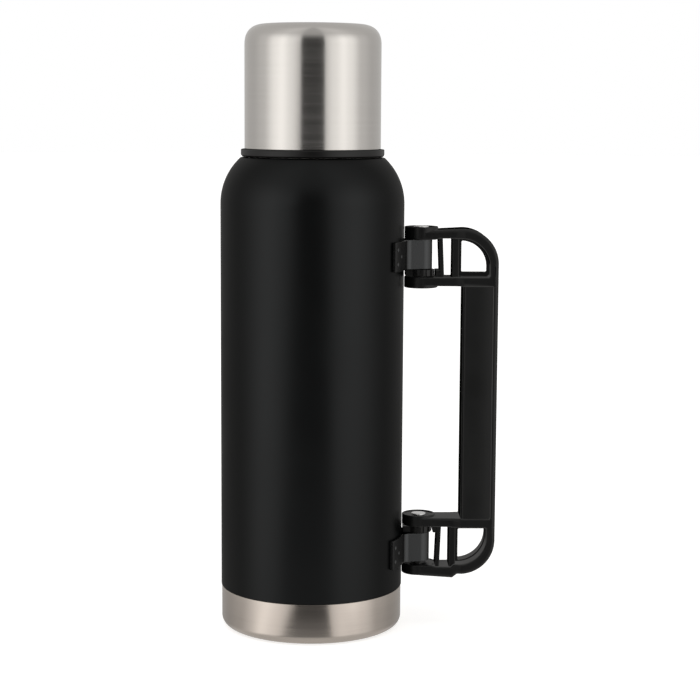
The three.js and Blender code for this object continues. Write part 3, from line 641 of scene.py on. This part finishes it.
def outer_shell():
    inner_arc = SHOULDER_ARC_R - STEEL
    inner_deg = math.degrees(math.asin((ledge_z - STEEL - SHOULDER_Z) / inner_arc))
    profile = rounded(
        [
            (BODY_R, SHELL_FOOT_Z, 0.2),
            *arc(shoulder_r, SHOULDER_Z, SHOULDER_ARC_R, 0, ledge_deg - 1.5, 28),
            (LEDGE_R, ledge_z, 0.9),
            (NECK_R, ledge_z, 0.8),
            (NECK_R, NECK_TOP_Z, 0.3),
            (NECK_R - STEEL, NECK_TOP_Z),
            (NECK_R - STEEL, ledge_z - STEEL),
            *arc(shoulder_r, SHOULDER_Z, inner_arc, inner_deg, 0, 12),
            (BODY_R - STEEL, SHELL_FOOT_Z),
        ]
    )
    shell = lathe("bottle_shell", profile)
    dress(shell, black_coat, "bottle", "powder_black", "outer_shell")
    ridge = thread_ridge("neck_thread", NECK_R - THREAD_BITE, NECK_CREST_R, NECK_THREAD_Z)
    dress(ridge, black_coat, "bottle", "powder_black")


def base_cup():
    inner_r = BASE_R - STEEL
    groove_low = GROOVE_R - GROOVE_HALF_WIDTH
    groove_high = GROOVE_R + GROOVE_HALF_WIDTH
    profile = rounded(
        [
            (0, 0),
            (groove_low, 0, 0.5),
            (groove_low + GROOVE_DEPTH, GROOVE_DEPTH, 0.3),
            (groove_high - GROOVE_DEPTH, GROOVE_DEPTH, 0.3),
            (groove_high, 0, 0.5),
            *arc(BASE_R - BASE_EDGE_R, BASE_EDGE_R, BASE_EDGE_R, -90, 0, 16),
            (BASE_R, BASE_TOP_Z, 0.15),
            (inner_r, BASE_TOP_Z),
            *arc(BASE_R - BASE_EDGE_R, BASE_EDGE_R, BASE_EDGE_R - STEEL, 0, -90, 8),
            (groove_high + STEEL, STEEL),
            (groove_high, STEEL + GROOVE_DEPTH),
            (groove_low, STEEL + GROOVE_DEPTH),
            (groove_low - STEEL, STEEL),
            (0, STEEL),
        ]
    )
    dress(lathe("foot_cup", profile), base_steel, "bottle", "brushed_steel", "base_cup")


def inner_bottle():
    arc_r = LINER_R - shoulder_r
    low_lip = LIP_TOP_Z - STEEL
    mouth_r = LINER_NECK_R - STEEL
    profile = rounded(
        [
            (LINER_R, LINER_FOOT_Z),
            *arc(shoulder_r, LINER_SHOULDER_Z, arc_r, 0, LINER_ARC_DEG, 14),
            (LINER_NECK_R, ledge_z, 0.6),
            (LINER_NECK_R, low_lip),
            (LIP_R, low_lip, 0.3),
            (LIP_R, LIP_TOP_Z, 0.39),
            (mouth_r, LIP_TOP_Z, 0.7),
            (mouth_r, ledge_z, 1.5),
            *arc(shoulder_r, LINER_SHOULDER_Z, arc_r - STEEL, LINER_ARC_DEG, 0, 14),
            (LINER_R - STEEL, LINER_FOOT_Z),
        ]
    )
    dress(lathe("inner_bottle", profile), inner_steel, "bottle", "brushed_steel", "inner_liner")
    ridge = thread_ridge("mouth_thread", mouth_r + THREAD_BITE, MOUTH_CREST_R, STOPPER_THREAD_Z + PITCH / 2)
    dress(ridge, inner_steel, "bottle", "brushed_steel")
    floor = rounded(
        [
            (0, FLOOR_Z),
            (FLOOR_R, FLOOR_Z, 3.4),
            (FLOOR_R, FLOOR_RIM_Z),
            (FLOOR_R - STEEL, FLOOR_RIM_Z),
            (FLOOR_R - STEEL, FLOOR_Z + STEEL, 2.6),
            (0, FLOOR_Z + STEEL),
        ],
        8,
    )
    dress(lathe("inner_floor", floor), inner_steel, "bottle", "brushed_steel", "liner_floor")


# ---- stopper ------------------------------------------------------------------------------------
def seal_section(node, inner_r, outer_r, soft=0.4):
    """The section of a silicone ring, as high as its CAD node."""
    low, high = (corner[2] for corner in edges_mm(node))
    corners = ((inner_r, low), (outer_r, low), (outer_r, high), (inner_r, high))
    return rounded([(r, z, soft) for r, z in corners])


def stopper():
    inner_r = PLUG_R - PLUG_WALL
    flange_low = FLANGE_TOP_Z - FLANGE_THICK
    profile = rounded(
        [
            (0, PLUG_FLOOR_Z),
            (PLUG_R, PLUG_FLOOR_Z, 1.2),
            (PLUG_R, flange_low, 0.5),
            (FLANGE_R, flange_low, 0.5),
            (FLANGE_R, FLANGE_TOP_Z, 0.5),
            (inner_r, FLANGE_TOP_Z),
            (inner_r, PLUG_FLOOR_Z + PLUG_WALL),
            (0, PLUG_FLOOR_Z + PLUG_WALL),
        ]
    )
    dress(lathe("stopper_plug", profile), lid_plastic, "stopper", "lid_plastic", "stopper_body")
    ridge = thread_ridge("stopper_thread", PLUG_R - THREAD_BITE, STOPPER_CREST_R, STOPPER_THREAD_Z)
    dress(ridge, lid_plastic, "stopper", "lid_plastic")
    ring = seal_section("stopper_seal", STOPPER_SEAL_INNER_R, STOPPER_SEAL_OUTER_R)
    dress(lathe("stopper_ring", ring), silicone, "stopper_ring", "silicone", "stopper_seal")


def flute_depth(angle, spread=0.36):
    """How far the knob's side is scooped in at an angle: FLUTES round scoops with soft edges."""
    phase = (angle * FLUTES / TURN + 0.5) % 1 - 0.5
    return FLUTE_DEPTH * max(0.0, 1 - (phase / spread) ** 2) ** 0.75


def stopper_knob():
    """The fluted top: a turned shape whose side is scooped in FLUTES times."""
    edge = KNOB_EDGE_R
    side_low = KNOB_LOW_Z + FLUTE_FOOT
    dish_z = KNOB_TOP_Z - KNOB_DISH_DEPTH
    outside = [
        (FLANGE_R - 0.3, KNOB_LOW_Z, 0),
        (FLANGE_R, KNOB_LOW_Z + 0.3, 0),
        (FLANGE_R, side_low, 0),
        (FLANGE_R, side_low + 0.3, 1),
        *[(r, z, 1) for r, z in arc(FLANGE_R - edge, KNOB_TOP_Z - edge, edge, 0, 78, 8)],
        (FLANGE_R - edge - 0.4, KNOB_TOP_Z, 0.6),
        (FLANGE_R - edge - 2.2, KNOB_TOP_Z, 0),
        (KNOB_DISH_R + 1, KNOB_TOP_Z - 0.1, 0),
        (KNOB_DISH_R, dish_z, 0),
        (0, dish_z, 0),
    ]
    inner_r = FLANGE_R - KNOB_WALL
    inside = [
        (0, KNOB_TOP_Z - KNOB_WALL, 0),
        (inner_r, KNOB_TOP_Z - KNOB_WALL, 0),
        (inner_r, KNOB_LOW_Z, 0),
    ]
    profile = outside + inside
    made = lathe("stopper_top", [(r, z) for r, z, _ in profile])
    share = {(round(r, 3), round(z, 3)): s for r, z, s in profile}
    for v in made.data.vertices:
        r = math.hypot(v.co.x, v.co.y) / MM
        s = share.get((round(r, 3), round(v.co.z / MM, 3)), 0)
        if s and r > 1:
            scale = 1 - s * flute_depth(math.atan2(v.co.y, v.co.x)) / r
            v.co.x *= scale
            v.co.y *= scale
    dress(made, lid_plastic, "stopper", "lid_plastic", "stopper_knob")


# ---- cup lid ------------------------------------------------------------------------------------
def cup_corner(side_depth, top_depth, steps=22):
    return square_corner(
        CUP_R - CUP_CORNER_WIDTH,
        CUP_CORNER_Z,
        CUP_CORNER_WIDTH - side_depth,
        CUP_CORNER_HEIGHT - top_depth,
        steps,
    )


def crown(top_z, steps=5):
    """The slight rise of the cup's top, from its corner to its centre."""
    r = CUP_R - CUP_CORNER_WIDTH
    angles = [math.pi / 2 * (i + 1) / steps for i in range(steps)]
    return [(r * math.cos(a), top_z + CUP_CROWN * math.sin(a)) for a in angles]


def cup_lid():
    corner_top = CUP_CORNER_Z + CUP_CORNER_HEIGHT
    middle_z = corner_top + CUP_CROWN
    outside = [(CUP_R, CUP_FOOT_Z), *cup_corner(0, 0), *crown(corner_top)[:-1], (0, middle_z)]
    inside = [(CUP_R - STEEL, CUP_FOOT_Z), *cup_corner(STEEL, STEEL), (0, middle_z - STEEL)]
    dress(lathe("cup_shell_steel", outside + inside[::-1]), cup_steel, "cup", "brushed_steel", "cup_shell")

    side = CUP_R - CUP_LINER_R
    top = side + CUP_HEADROOM
    inner_r = CUP_LINER_R - CUP_LINER_WALL
    groove_top = RING_FOOT_Z + GASKET_GROOVE_DEPTH
    profile = rounded(
        [
            (inner_r, RING_FOOT_Z, 0.3),
            (GASKET_GROOVE_INNER_R, RING_FOOT_Z),
            (GASKET_GROOVE_INNER_R, groove_top),
            (GASKET_GROOVE_OUTER_R, groove_top),
            (GASKET_GROOVE_OUTER_R, RING_FOOT_Z),
            (RING_R - 0.7, RING_FOOT_Z, 0.3),
            (RING_R, RING_FOOT_Z + 0.8, 0.5),
            (RING_R, RING_TOP_Z - 0.1, 0.45),
            (CUP_LINER_R, RING_TOP_Z),
            *cup_corner(side, top),
            (0, corner_top - top),
            (0, corner_top - top - CUP_LINER_WALL),
            *cup_corner(side + CUP_LINER_WALL, top + CUP_LINER_WALL)[::-1],
        ]
    )
    dress(lathe("cup_inside", profile), lid_plastic, "cup", "lid_plastic", "cup_liner")
    ridge = thread_ridge("cup_thread", inner_r + THREAD_BITE, CUP_CREST_R, NECK_THREAD_Z - PITCH / 2)
    dress(ridge, lid_plastic, "cup", "lid_plastic")
    ring = seal_section("cup_gasket", GASKET_GROOVE_INNER_R + GAP, GASKET_GROOVE_OUTER_R - GAP)
    dress(lathe("cup_ring_seal", ring), silicone, "cup_ring", "silicone", "cup_gasket")


# ---- hinges -------------------------------------------------------------------------------------
DIMPLE_DEPTH = 0.42
DIMPLE_R = 0.85
WELD_DEPTH = 0.26  # the tabs' inner face comes this much nearer to the bottle than in the CAD
DIMPLES = ((27.5, 3.7), (27.5, -3.7), (22.0, 0.0))  # degrees round the bottle, height from the tab's middle


def strap_path():
    """Stations of the strip's middle line as (x, y, normal x, normal y, degrees round the bottle or None)."""
    mid_r = BODY_R + GAP + STRAP_THICK / 2
    outer_r = BODY_R + GAP + STRAP_THICK
    # the bend touches the bottle's circle, and the straight run whose normal points along run_deg
    run_deg = 90 - STRAP_TAPER_DEG
    run_at = PIVOT_X * math.cos(math.radians(run_deg)) + STRAP_LOOP_R
    bend_at = outer_r + STRAP_BEND_R
    leaves = run_deg - math.degrees(math.acos((run_at + STRAP_BEND_R) / bend_at))
    bend_x = bend_at * math.cos(math.radians(leaves))
    bend_y = bend_at * math.sin(math.radians(leaves))
    half = []
    for i in range(61):
        a = STRAP_WRAP_DEG + (leaves - STRAP_WRAP_DEG) * i / 60
        c, s = math.cos(math.radians(a)), math.sin(math.radians(a))
        half.append((mid_r * c, mid_r * s, c, s, a))
    for i in range(1, 25):
        a = math.radians(180 + leaves + (run_deg - leaves) * i / 24)
        c, s = math.cos(a), math.sin(a)
        r = STRAP_BEND_R + STRAP_THICK / 2
        half.append((bend_x + r * c, bend_y + r * s, -c, -s, None))
    for i in range(25):
        a = math.radians(run_deg - run_deg * i / 24)
        c, s = math.cos(a), math.sin(a)
        r = STRAP_LOOP_R - STRAP_THICK / 2
        half.append((PIVOT_X + r * c, r * s, c, s, None))
    mirrored = [(x, -y, nx, -ny, a) for x, y, nx, ny, a in half[-2::-1]]
    return half + mirrored


def dimple(degrees, height):
    """How deep the spot welds press the strip in at a place on a tab."""
    if degrees is None:
        return 0.0
    depth = 0.0
    for at, up in DIMPLES:
        across = math.radians(degrees - at) * (BODY_R + STRAP_THICK)
        d = math.hypot(across, height - up) / DIMPLE_R
        depth = max(depth, DIMPLE_DEPTH * math.exp(-(d**4)))
    return depth


def strap(name, node):
    low, high = (corner[2] for corner in edges_mm(node))
    middle = (low + high) / 2
    edge = 0.22
    half_thick = STRAP_THICK / 2
    leaves = min(degrees for *_, degrees in strap_path() if degrees is not None and degrees > 0)
    section = [(n, z) for z, n in rounded(
        [
            (low, -half_thick, edge),
            (high, -half_thick, edge),
            (high, half_thick, edge),
            (low, half_thick, edge),
        ],
        4,
    )]
    split = 56
    face_low = low + edge
    face_high = high - edge
    outer_at = max(range(len(section)), key=lambda i: (section[i][0], section[i][1]))
    extra = [(half_thick, face_high + (face_low - face_high) * k / split) for k in range(1, split)]
    section = section[: outer_at + 1] + extra + section[outer_at + 1 :]
    bm = bmesh.new()
    rings = []
    path = strap_path()
    for x, y, nx, ny, degrees in path:
        ring = []
        for n, z in section:
            out = n
            if n > half_thick - 1e-6:
                out -= dimple(degrees, z - middle)
            elif n < 0 and degrees is not None:
                out -= WELD_DEPTH * min(1, (degrees - leaves) / 4)
            ring.append(bm.verts.new(Vector((x + nx * out, y + ny * out, z)) * MM))
        rings.append(ring)
    for ring, following in zip(rings, rings[1:]):
        for i in range(len(section)):
            k = (i + 1) % len(section)
            bm.faces.new((ring[i], ring[k], following[k], following[i]))
    bm.faces.new(rings[0][::-1])
    bm.faces.new(rings[-1])
    dress(finish_mesh(bm, name), strap_coat, "bottle", "strap_paint", node)


def signed(side, near, far):
    """The two heights of a span on one side of the handle's middle, lowest first."""
    return sorted((MID_Z + side * near, MID_Z + side * far))


def bush(name, node, side):
    """A sleeve in the strap's loop, with a toothed flange whose tail reaches to the bottle."""
    outline = []
    tooth = TURN / BUSH_TEETH
    crest = BUSH_FLANGE_R
    valley = BUSH_FLANGE_R - BUSH_TOOTH_DEPTH
    for i in range(BUSH_TEETH):
        for r, share in ((crest, -0.27), (crest, 0), (crest, 0.27), (valley, 0.3), (valley, 0.7)):
            a = tooth * i + share * tooth
            outline.append((PIVOT_X + r * math.cos(a), r * math.sin(a)))
    low, high = signed(side, BUSH_FLANGE_NEAR, BUSH_FLANGE_FAR)
    flange = slab(name + "_flange", outline, low, high, 0.2, upright, 2)
    half = BUSH_TAIL_HALF_WIDTH
    tail_x = BUSH_TAIL_X + 0.01
    shape = [(tail_x, -half), (PIVOT_X, -half), (PIVOT_X, half), (tail_x, half)]
    tail = slab(name + "_tail", shape, low, high, 0.2, upright, 2)
    dress(union(name + "_flange", [flange, tail]), bush_plastic, "bottle", "handle_plastic", node)
    # painted shade: the sleeve runs on to the outer knuckle, past the CAD's sleeve, so that its dark plastic
    # covers the pin's shaft where shade falls
    low, high = signed(side, BUSH_FLANGE_FAR - 0.2, OUTER_NEAR[side] - GAP)
    sleeve = rounded([(PIN_HOLE_R, low), (BUSH_R, low), (BUSH_R, high, 0.3), (PIN_HOLE_R, high, 0.3)])
    dress(lathe(name + "_sleeve", sleeve, AROUND_SMALL, PIVOT_X), bush_plastic, "bottle", "handle_plastic")


def pin(name, node):
    low, high = (corner[2] for corner in edges_mm(node))
    seat = high - PIN_HEAD_HEIGHT
    profile = rounded(
        [
            (0, low),
            (PIN_R, low, 0.4),
            (PIN_R, seat),
            (PIN_HEAD_R, seat, 0.15),
            (PIN_HEAD_R, high - 0.15, 0.45),
            (0, high),
        ]
    )
    dress(lathe(name, profile, AROUND_SMALL, PIVOT_X), pin_steel, "handle", "pin_steel", node)


def washer(name, node):
    low, high = (corner[2] for corner in edges_mm(node))
    corners = ((PIN_HOLE_R, low), (WASHER_R, low), (WASHER_R, high), (PIN_HOLE_R, high))
    profile = rounded([(r, z, 0.15) for r, z in corners])
    dress(lathe(name, profile, AROUND_SMALL, PIVOT_X), pin_steel, "handle", "pin_steel", node)


# ---- handle -------------------------------------------------------------------------------------
def arm_width(x):
    """Half the handle's width at x: narrow at the knuckles, full at the grip."""
    if x < ARM_X:
        share = max(0.0, (x - PIVOT_X) / (ARM_X - PIVOT_X))
        return KNUCKLE_R - 0.1 + (ARM_HALF_WIDTH - KNUCKLE_R + 0.1) * share
    share = min(1.0, (x - ARM_X) / (FULL_WIDTH_X - ARM_X))
    return ARM_HALF_WIDTH + (HALF_WIDTH - ARM_HALF_WIDTH) * share


def fork_inside(side):
    """The inside of one fork as (x, height, corner radius), its window and slots taken as one opening."""
    return [
        (SPINE_X, ARM_NEAR, 0.5),
        (GRIP_X, ARM_NEAR, 0.8),
        (PIVOT_X, ARM_NEAR),
        (PIVOT_X, INNER_FAR),
        (RIB_TWO_X, INNER_FAR),
        (74.5, D_FOOT),
        (D_ARC_X + D_ARC_R, D_FOOT, D_FILLET),
        *arc(D_ARC_X, D_ARC_Z, D_ARC_R, 4, 88, 24),
        (75.6, D_ARC_Z + D_ARC_R),
        (74.0, SLOT_FAR[side]),
        (PIVOT_X + KNUCKLE_R + 0.6, SLOT_FAR[side], 0.6),
        (PIVOT_X + KNUCKLE_R - 2, OUTER_NEAR[side]),
        (PIVOT_X, OUTER_NEAR[side]),
    ]


def frame_outline():
    """The handle's side view without ribs as (x, height), and each point's share of the edge rounding."""
    upper = [(PIVOT_X, ARM_TOP), *arc(RIM_CORNER_X, RIM_TOP - RIM_CORNER_R, RIM_CORNER_R, 90, 0, 32)]
    lower = [
        (PIVOT_X, -ARM_FOOT[0]),
        (ARM_STEP_X[0], -ARM_FOOT[1], 1.0),
        (ARM_STEP_X[1], -RIM_TOP, 1.2),
        *arc(RIM_CORNER_X, RIM_CORNER_R - RIM_TOP, RIM_CORNER_R, -88, 0, 32),
    ]
    outside = upper + lower[::-1]
    inside = [(x, -h, *r) for x, h, *r in fork_inside(-1)[::-1]] + fork_inside(1)
    outline = rounded(outside + inside)
    count = len(rounded(outside))
    return outline, [1.0] * count + [0.4] * (len(outline) - count)


def d_outline(x, foot, arc_r, fillet=D_FILLET):
    """The D-shaped window's outline: straight at the rib and at the foot, an arc towards the rim."""
    end = math.acos(max(0, x + fillet - D_ARC_X) / arc_r)
    top = D_ARC_Z + arc_r * math.sin(end)
    return [
        *arc(x + fillet, foot + fillet, fillet, 180, 270, 4),
        *arc(D_ARC_X + arc_r - fillet, foot + fillet, fillet, -90, 0, 4),
        *arc(D_ARC_X, D_ARC_Z, arc_r, 0, math.degrees(end), 28),
        *arc(x + fillet, top - fillet, fillet, 90, 180, 4),
    ]


def knuckle(side, near, far, recessed):
    """One turned knuckle; recessed tells whether it has the pin head's recess or the washer's pocket."""
    low, high = signed(side, near, far)
    soft = 0.6
    if recessed:
        profile = [
            (PIN_HOLE_R, low),
            (KNUCKLE_R, low, soft),
            (KNUCKLE_R, high, soft * 0.6),
            (RECESS_R, high, 0.2),
            (RECESS_R - 0.1, high - RECESS_DEPTH, 0.25),
            (PIN_HOLE_R, high - RECESS_DEPTH),
        ]
    else:
        profile = [
            (PIN_HOLE_R, low + POCKET_DEPTH),
            (POCKET_R, low + POCKET_DEPTH),
            (POCKET_R, low, 0.2),
            (KNUCKLE_R, low, soft),
            (KNUCKLE_R, high, soft),
            (PIN_HOLE_R, high),
        ]
    return lathe("knuckle", rounded(profile), AROUND_SMALL, PIVOT_X)


def side_place(x, h, y):
    """A point of a side view, its thickness squeezed to the arm's width there."""
    return (x, y * arm_width(x) / HALF_WIDTH, MID_Z + h)


def plain_side(x, h, y):
    return (x, y, MID_Z + h)


def handle_frame():
    outline, shares = frame_outline()
    cuts = (64.0, 69.0, ARM_X, 76.0, 78.0, FULL_WIDTH_X)
    parts = [slab("frame", outline, -HALF_WIDTH, HALF_WIDTH, 1.9, side_place, 6, cuts, shares)]
    for side in (1, -1):
        ribs = (RIB_FOOT, SLOT_FAR[side] + 0.4)
        for near, far, (foot, top), half, edge in (
            (RIB_ONE_NEAR, RIB_ONE_FAR, ribs, RIB_ONE_HALF_WIDTH, 0.5),
            ((RIB_TWO_X, D_X), (RIB_TWO_X, D_X), ribs, RIB_TWO_HALF_WIDTH, 0.6),
            (BLOCK_X, BLOCK_X, BLOCK_HEIGHT, BLOCK_HALF_WIDTH, 0.4),
        ):
            shape = [(far[0], top), (far[1], top), (near[1], foot), (near[0], foot)]
            turned = [(x, side * h) for x, h in shape]
            parts.append(slab("rib", turned, -half, half, edge, plain_side, 3))
        parts.append(knuckle(side, OUTER_NEAR[side], OUTER_FAR, side > 0))
        parts.append(knuckle(side, INNER_NEAR, INNER_FAR, side < 0))
        outer = [(x, side * h) for x, h in d_outline(D_X - GAP, D_FOOT - GAP, D_ARC_R + GAP)]
        shape = d_outline(D_WEB_X, D_WEB_FOOT, D_WEB_ARC_R[side], D_WEB_FILLET)
        inner = [(x, side * h) for x, h in shape]
        if side < 0:
            outer, inner = outer[::-1], inner[::-1]
        parts.append(ring_plate("window_web", outer, inner, D_WEB_HALF_THICK, 0.3, plain_side))
    web = [(x, h) for x, h in ((WEB_X[0], WEB_HALF_HEIGHT), (WEB_X[0], -WEB_HALF_HEIGHT),
                               (WEB_X[1], -WEB_HALF_HEIGHT), (WEB_X[1], WEB_HALF_HEIGHT))]
    parts.append(slab("web", web, -WEB_HALF_WIDTH, WEB_HALF_WIDTH, 0.3, plain_side, 2))
    made = union("handle_moulding", parts)
    dress(made, handle_plastic, "handle", "handle_plastic", "handle_frame")
    made.visible_glossy = False  # the satin coat beside it is too soft to mirror the handle


def grip_pad():
    """The inner half of the grip: crowned sides, rounded front, a slot for the frame's web."""
    low, high = MID_Z - ARM_NEAR, MID_Z + ARM_NEAR
    crown_by = 0.4
    corner_r = 1.6
    start = GRIP_X + corner_r
    crest = start + 0.42 * (PAD_OUTER_X - start)
    side = []
    steps = 12
    for i in range(steps + 1):
        x = PAD_OUTER_X - (PAD_OUTER_X - start) * i / steps
        side.append((x, HALF_WIDTH - 0.05 - crown_by * ((crest - x) / (crest - start)) ** 2))
    corner = arc(start, side[-1][1] - corner_r, corner_r, 98, 180, 8)
    upper = side + corner
    lower = [(x, -y) for x, y in upper[::-1]]
    slot_half = WEB_HALF_WIDTH + GAP
    slot_x = WEB_X[0] - GAP
    slot = [(PAD_OUTER_X, -slot_half), (slot_x, -slot_half), (slot_x, slot_half), (PAD_OUTER_X, slot_half)]
    made = slab("grip_pad_moulding", upper + lower + slot, low, high, 0.25, upright, 2)
    dress(made, grip_rubber, "handle", "grip_rubber", "grip_pad")
    made.visible_glossy = False


# ---- pieces that the CAD already shapes well ----------------------------------------------------
def redress_cad():
    for node, material in (
        ("outer_bottom", inner_steel),
        ("vacuum_seal", seal_metal),
        ("getter", getter_metal),
        ("stopper_foam", foam),
    ):
        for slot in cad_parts[node].material_slots:
            slot.material = material


outer_shell()
base_cup()
inner_bottle()
stopper()
stopper_knob()
cup_lid()
for place, side in (("upper", 1), ("lower", -1)):
    strap(place + "_strap_strip", place + "_strap")
    bush(place + "_bush_moulding", place + "_bush", side)
    pin(place + "_pin_turned", place + "_pin")
    washer(place + "_washer_ring", place + "_washer")
handle_frame()
grip_pad()
redress_cad()


# ---- studio -------------------------------------------------------------------------------------
def studio_light():
    """A plain white surround, which the metal sees as a dark gap before the object, a softbox on each side
    and a dimmer room behind. The light depends only on its direction."""
    world = bpy.data.worlds.new("studio")
    bpy.context.scene.world = world
    world.use_nodes = True
    t = Tree(world.node_tree)
    t.tree.nodes.clear()
    parts = t.add("ShaderNodeSeparateXYZ")
    t.link(t.add("ShaderNodeTexCoord").outputs["Generated"], parts.inputs[0])
    x, y, z = parts.outputs
    down = t.math("MULTIPLY", z, -1.0)
    below = t.math("MAXIMUM", down, 0.0)
    on_left = t.math("LESS_THAN", x, 0.0)

    # 0 towards the front (-Y), 1 towards the back
    turned = t.math("ARCTAN2", x, t.math("MULTIPLY", y, -1.0))
    turned = t.math("DIVIDE", t.math("ABSOLUTE", turned), math.pi)
    # the gap widens towards the floor, most of all on the left
    widened = t.math("MULTIPLY", below, t.math("ADD", t.math("MULTIPLY", on_left, 0.18), 0.12))
    turned = t.math("MAXIMUM", t.math("SUBTRACT", turned, widened), 0.0)
    ramp = t.add("ShaderNodeValToRGB")
    ramp.color_ramp.interpolation = "EASE"
    gap = ((0.0, 0.02), (0.101, 0.025))
    softbox = ((0.116, 0.52), (0.20, 0.67), (0.29, 0.86), (0.36, 0.74))
    room = ((0.50, 0.42), (0.66, 0.33), (1.0, 0.34))
    stops = gap + softbox + room
    elements = ramp.color_ramp.elements
    while len(elements) < len(stops):
        elements.new(0.5)
    for element, (at, value) in zip(elements, stops):
        element.position = at
        element.color = (value, value * 0.985, value * 0.965, 1)
    t.link(turned, ramp.inputs[0])

    # the floor dims the room's lower part, from nearer the front on the right
    from_peak = t.math("SUBTRACT", turned, t.math("MULTIPLY", on_left, 0.11))
    loss = t.smooth_step(from_peak, 0.18, 0.28, 0.0, 0.32)
    low_share = t.math("MINIMUM", t.math("MULTIPLY", below, 3.7), 1.0)
    dimmed = t.add("ShaderNodeVectorMath", operation="SCALE")
    t.link(ramp.outputs[0], dimmed.inputs[0])
    t.link(t.math("SUBTRACT", 1.0, t.math("MULTIPLY", loss, low_share)), dimmed.inputs["Scale"])
    floor_glow = t.smooth_step(below, 0.205, 0.255, 0.0, 0.135)
    around = t.mix(1.0, dimmed.outputs[0], floor_glow, "LIGHTEN")
    with_ceiling = t.mix(t.smooth_step(z, 0.20, 0.66, 0.0, 0.80), around, (0.345, 0.34, 0.332))
    underneath = t.smooth_step(down, 0.34, 0.6, 0.0, 1.0)
    colour = t.mix(underneath, with_ceiling, (0.36, 0.355, 0.345))

    lit = t.add("ShaderNodeBackground", Strength=1.75)
    t.link(colour, lit.inputs["Color"])
    plain = t.add("ShaderNodeBackground", Color=(1, 1, 1, 1))
    shader = t.add("ShaderNodeMixShader")
    t.link(t.add("ShaderNodeLightPath").outputs["Is Camera Ray"], shader.inputs[0])
    t.link(lit.outputs[0], shader.inputs[1])
    t.link(plain.outputs[0], shader.inputs[2])
    t.link(shader.outputs[0], t.add("ShaderNodeOutputWorld").inputs[0])


def top_light():
    data = bpy.data.lights.new("top_softbox", "AREA")
    data.energy = 2.0
    data.shape = "DISK"
    data.size = 1.2
    light = bpy.data.objects.new("top_softbox", data)
    light.location = (0, -0.15, 1.5)
    light.visible_camera = False
    light.visible_glossy = False
    bpy.context.scene.collection.objects.link(light)


FLOOR_RADIUS = 9.0


def floor():
    """A wide pale floor that the object stands on; it only catches a soft shadow."""
    bm = bmesh.new()
    bmesh.ops.create_circle(bm, cap_ends=True, segments=AROUND_SMALL, radius=FLOOR_RADIUS)
    made = finish_mesh(bm, "floor")
    n = Material("floor_white", (0.9, 0.9, 0.9), 0.9)
    n.shader.inputs["Emission Color"].default_value = (1, 1, 1, 1)
    n.shader.inputs["Emission Strength"].default_value = 0.6
    n.shader.inputs["Specular IOR Level"].default_value = 0.0
    made.data.materials.append(n.material)
    made.location.z = -0.2 * MM
    made.visible_glossy = False
    made.visible_diffuse = False
    made.visible_shadow = False


CAMERA_DISTANCE = 0.987
CAMERA_HEIGHT = 0.2768
CAMERA_PITCH_DEG = -7.5
CAMERA_YAW_DEG = 1.16
CAMERA_ROLL_DEG = 0.33
CAMERA_LENS = 97.1


def camera():
    data = bpy.data.cameras.new("camera")
    data.lens = CAMERA_LENS
    data.sensor_width = 36
    made = bpy.data.objects.new("camera", data)
    made.location = (0, -CAMERA_DISTANCE, CAMERA_HEIGHT)
    aim = Euler((math.radians(90 + CAMERA_PITCH_DEG), 0, -math.radians(CAMERA_YAW_DEG))).to_matrix()
    roll = Matrix.Rotation(math.radians(CAMERA_ROLL_DEG), 3, "Z")
    made.rotation_euler = (aim @ roll).to_euler()
    bpy.context.scene.collection.objects.link(made)
    bpy.context.scene.camera = made


studio_light()
top_light()
floor()
camera()
bpy.context.scene.view_settings.view_transform = "Standard"

bpy.context.view_layer.update()
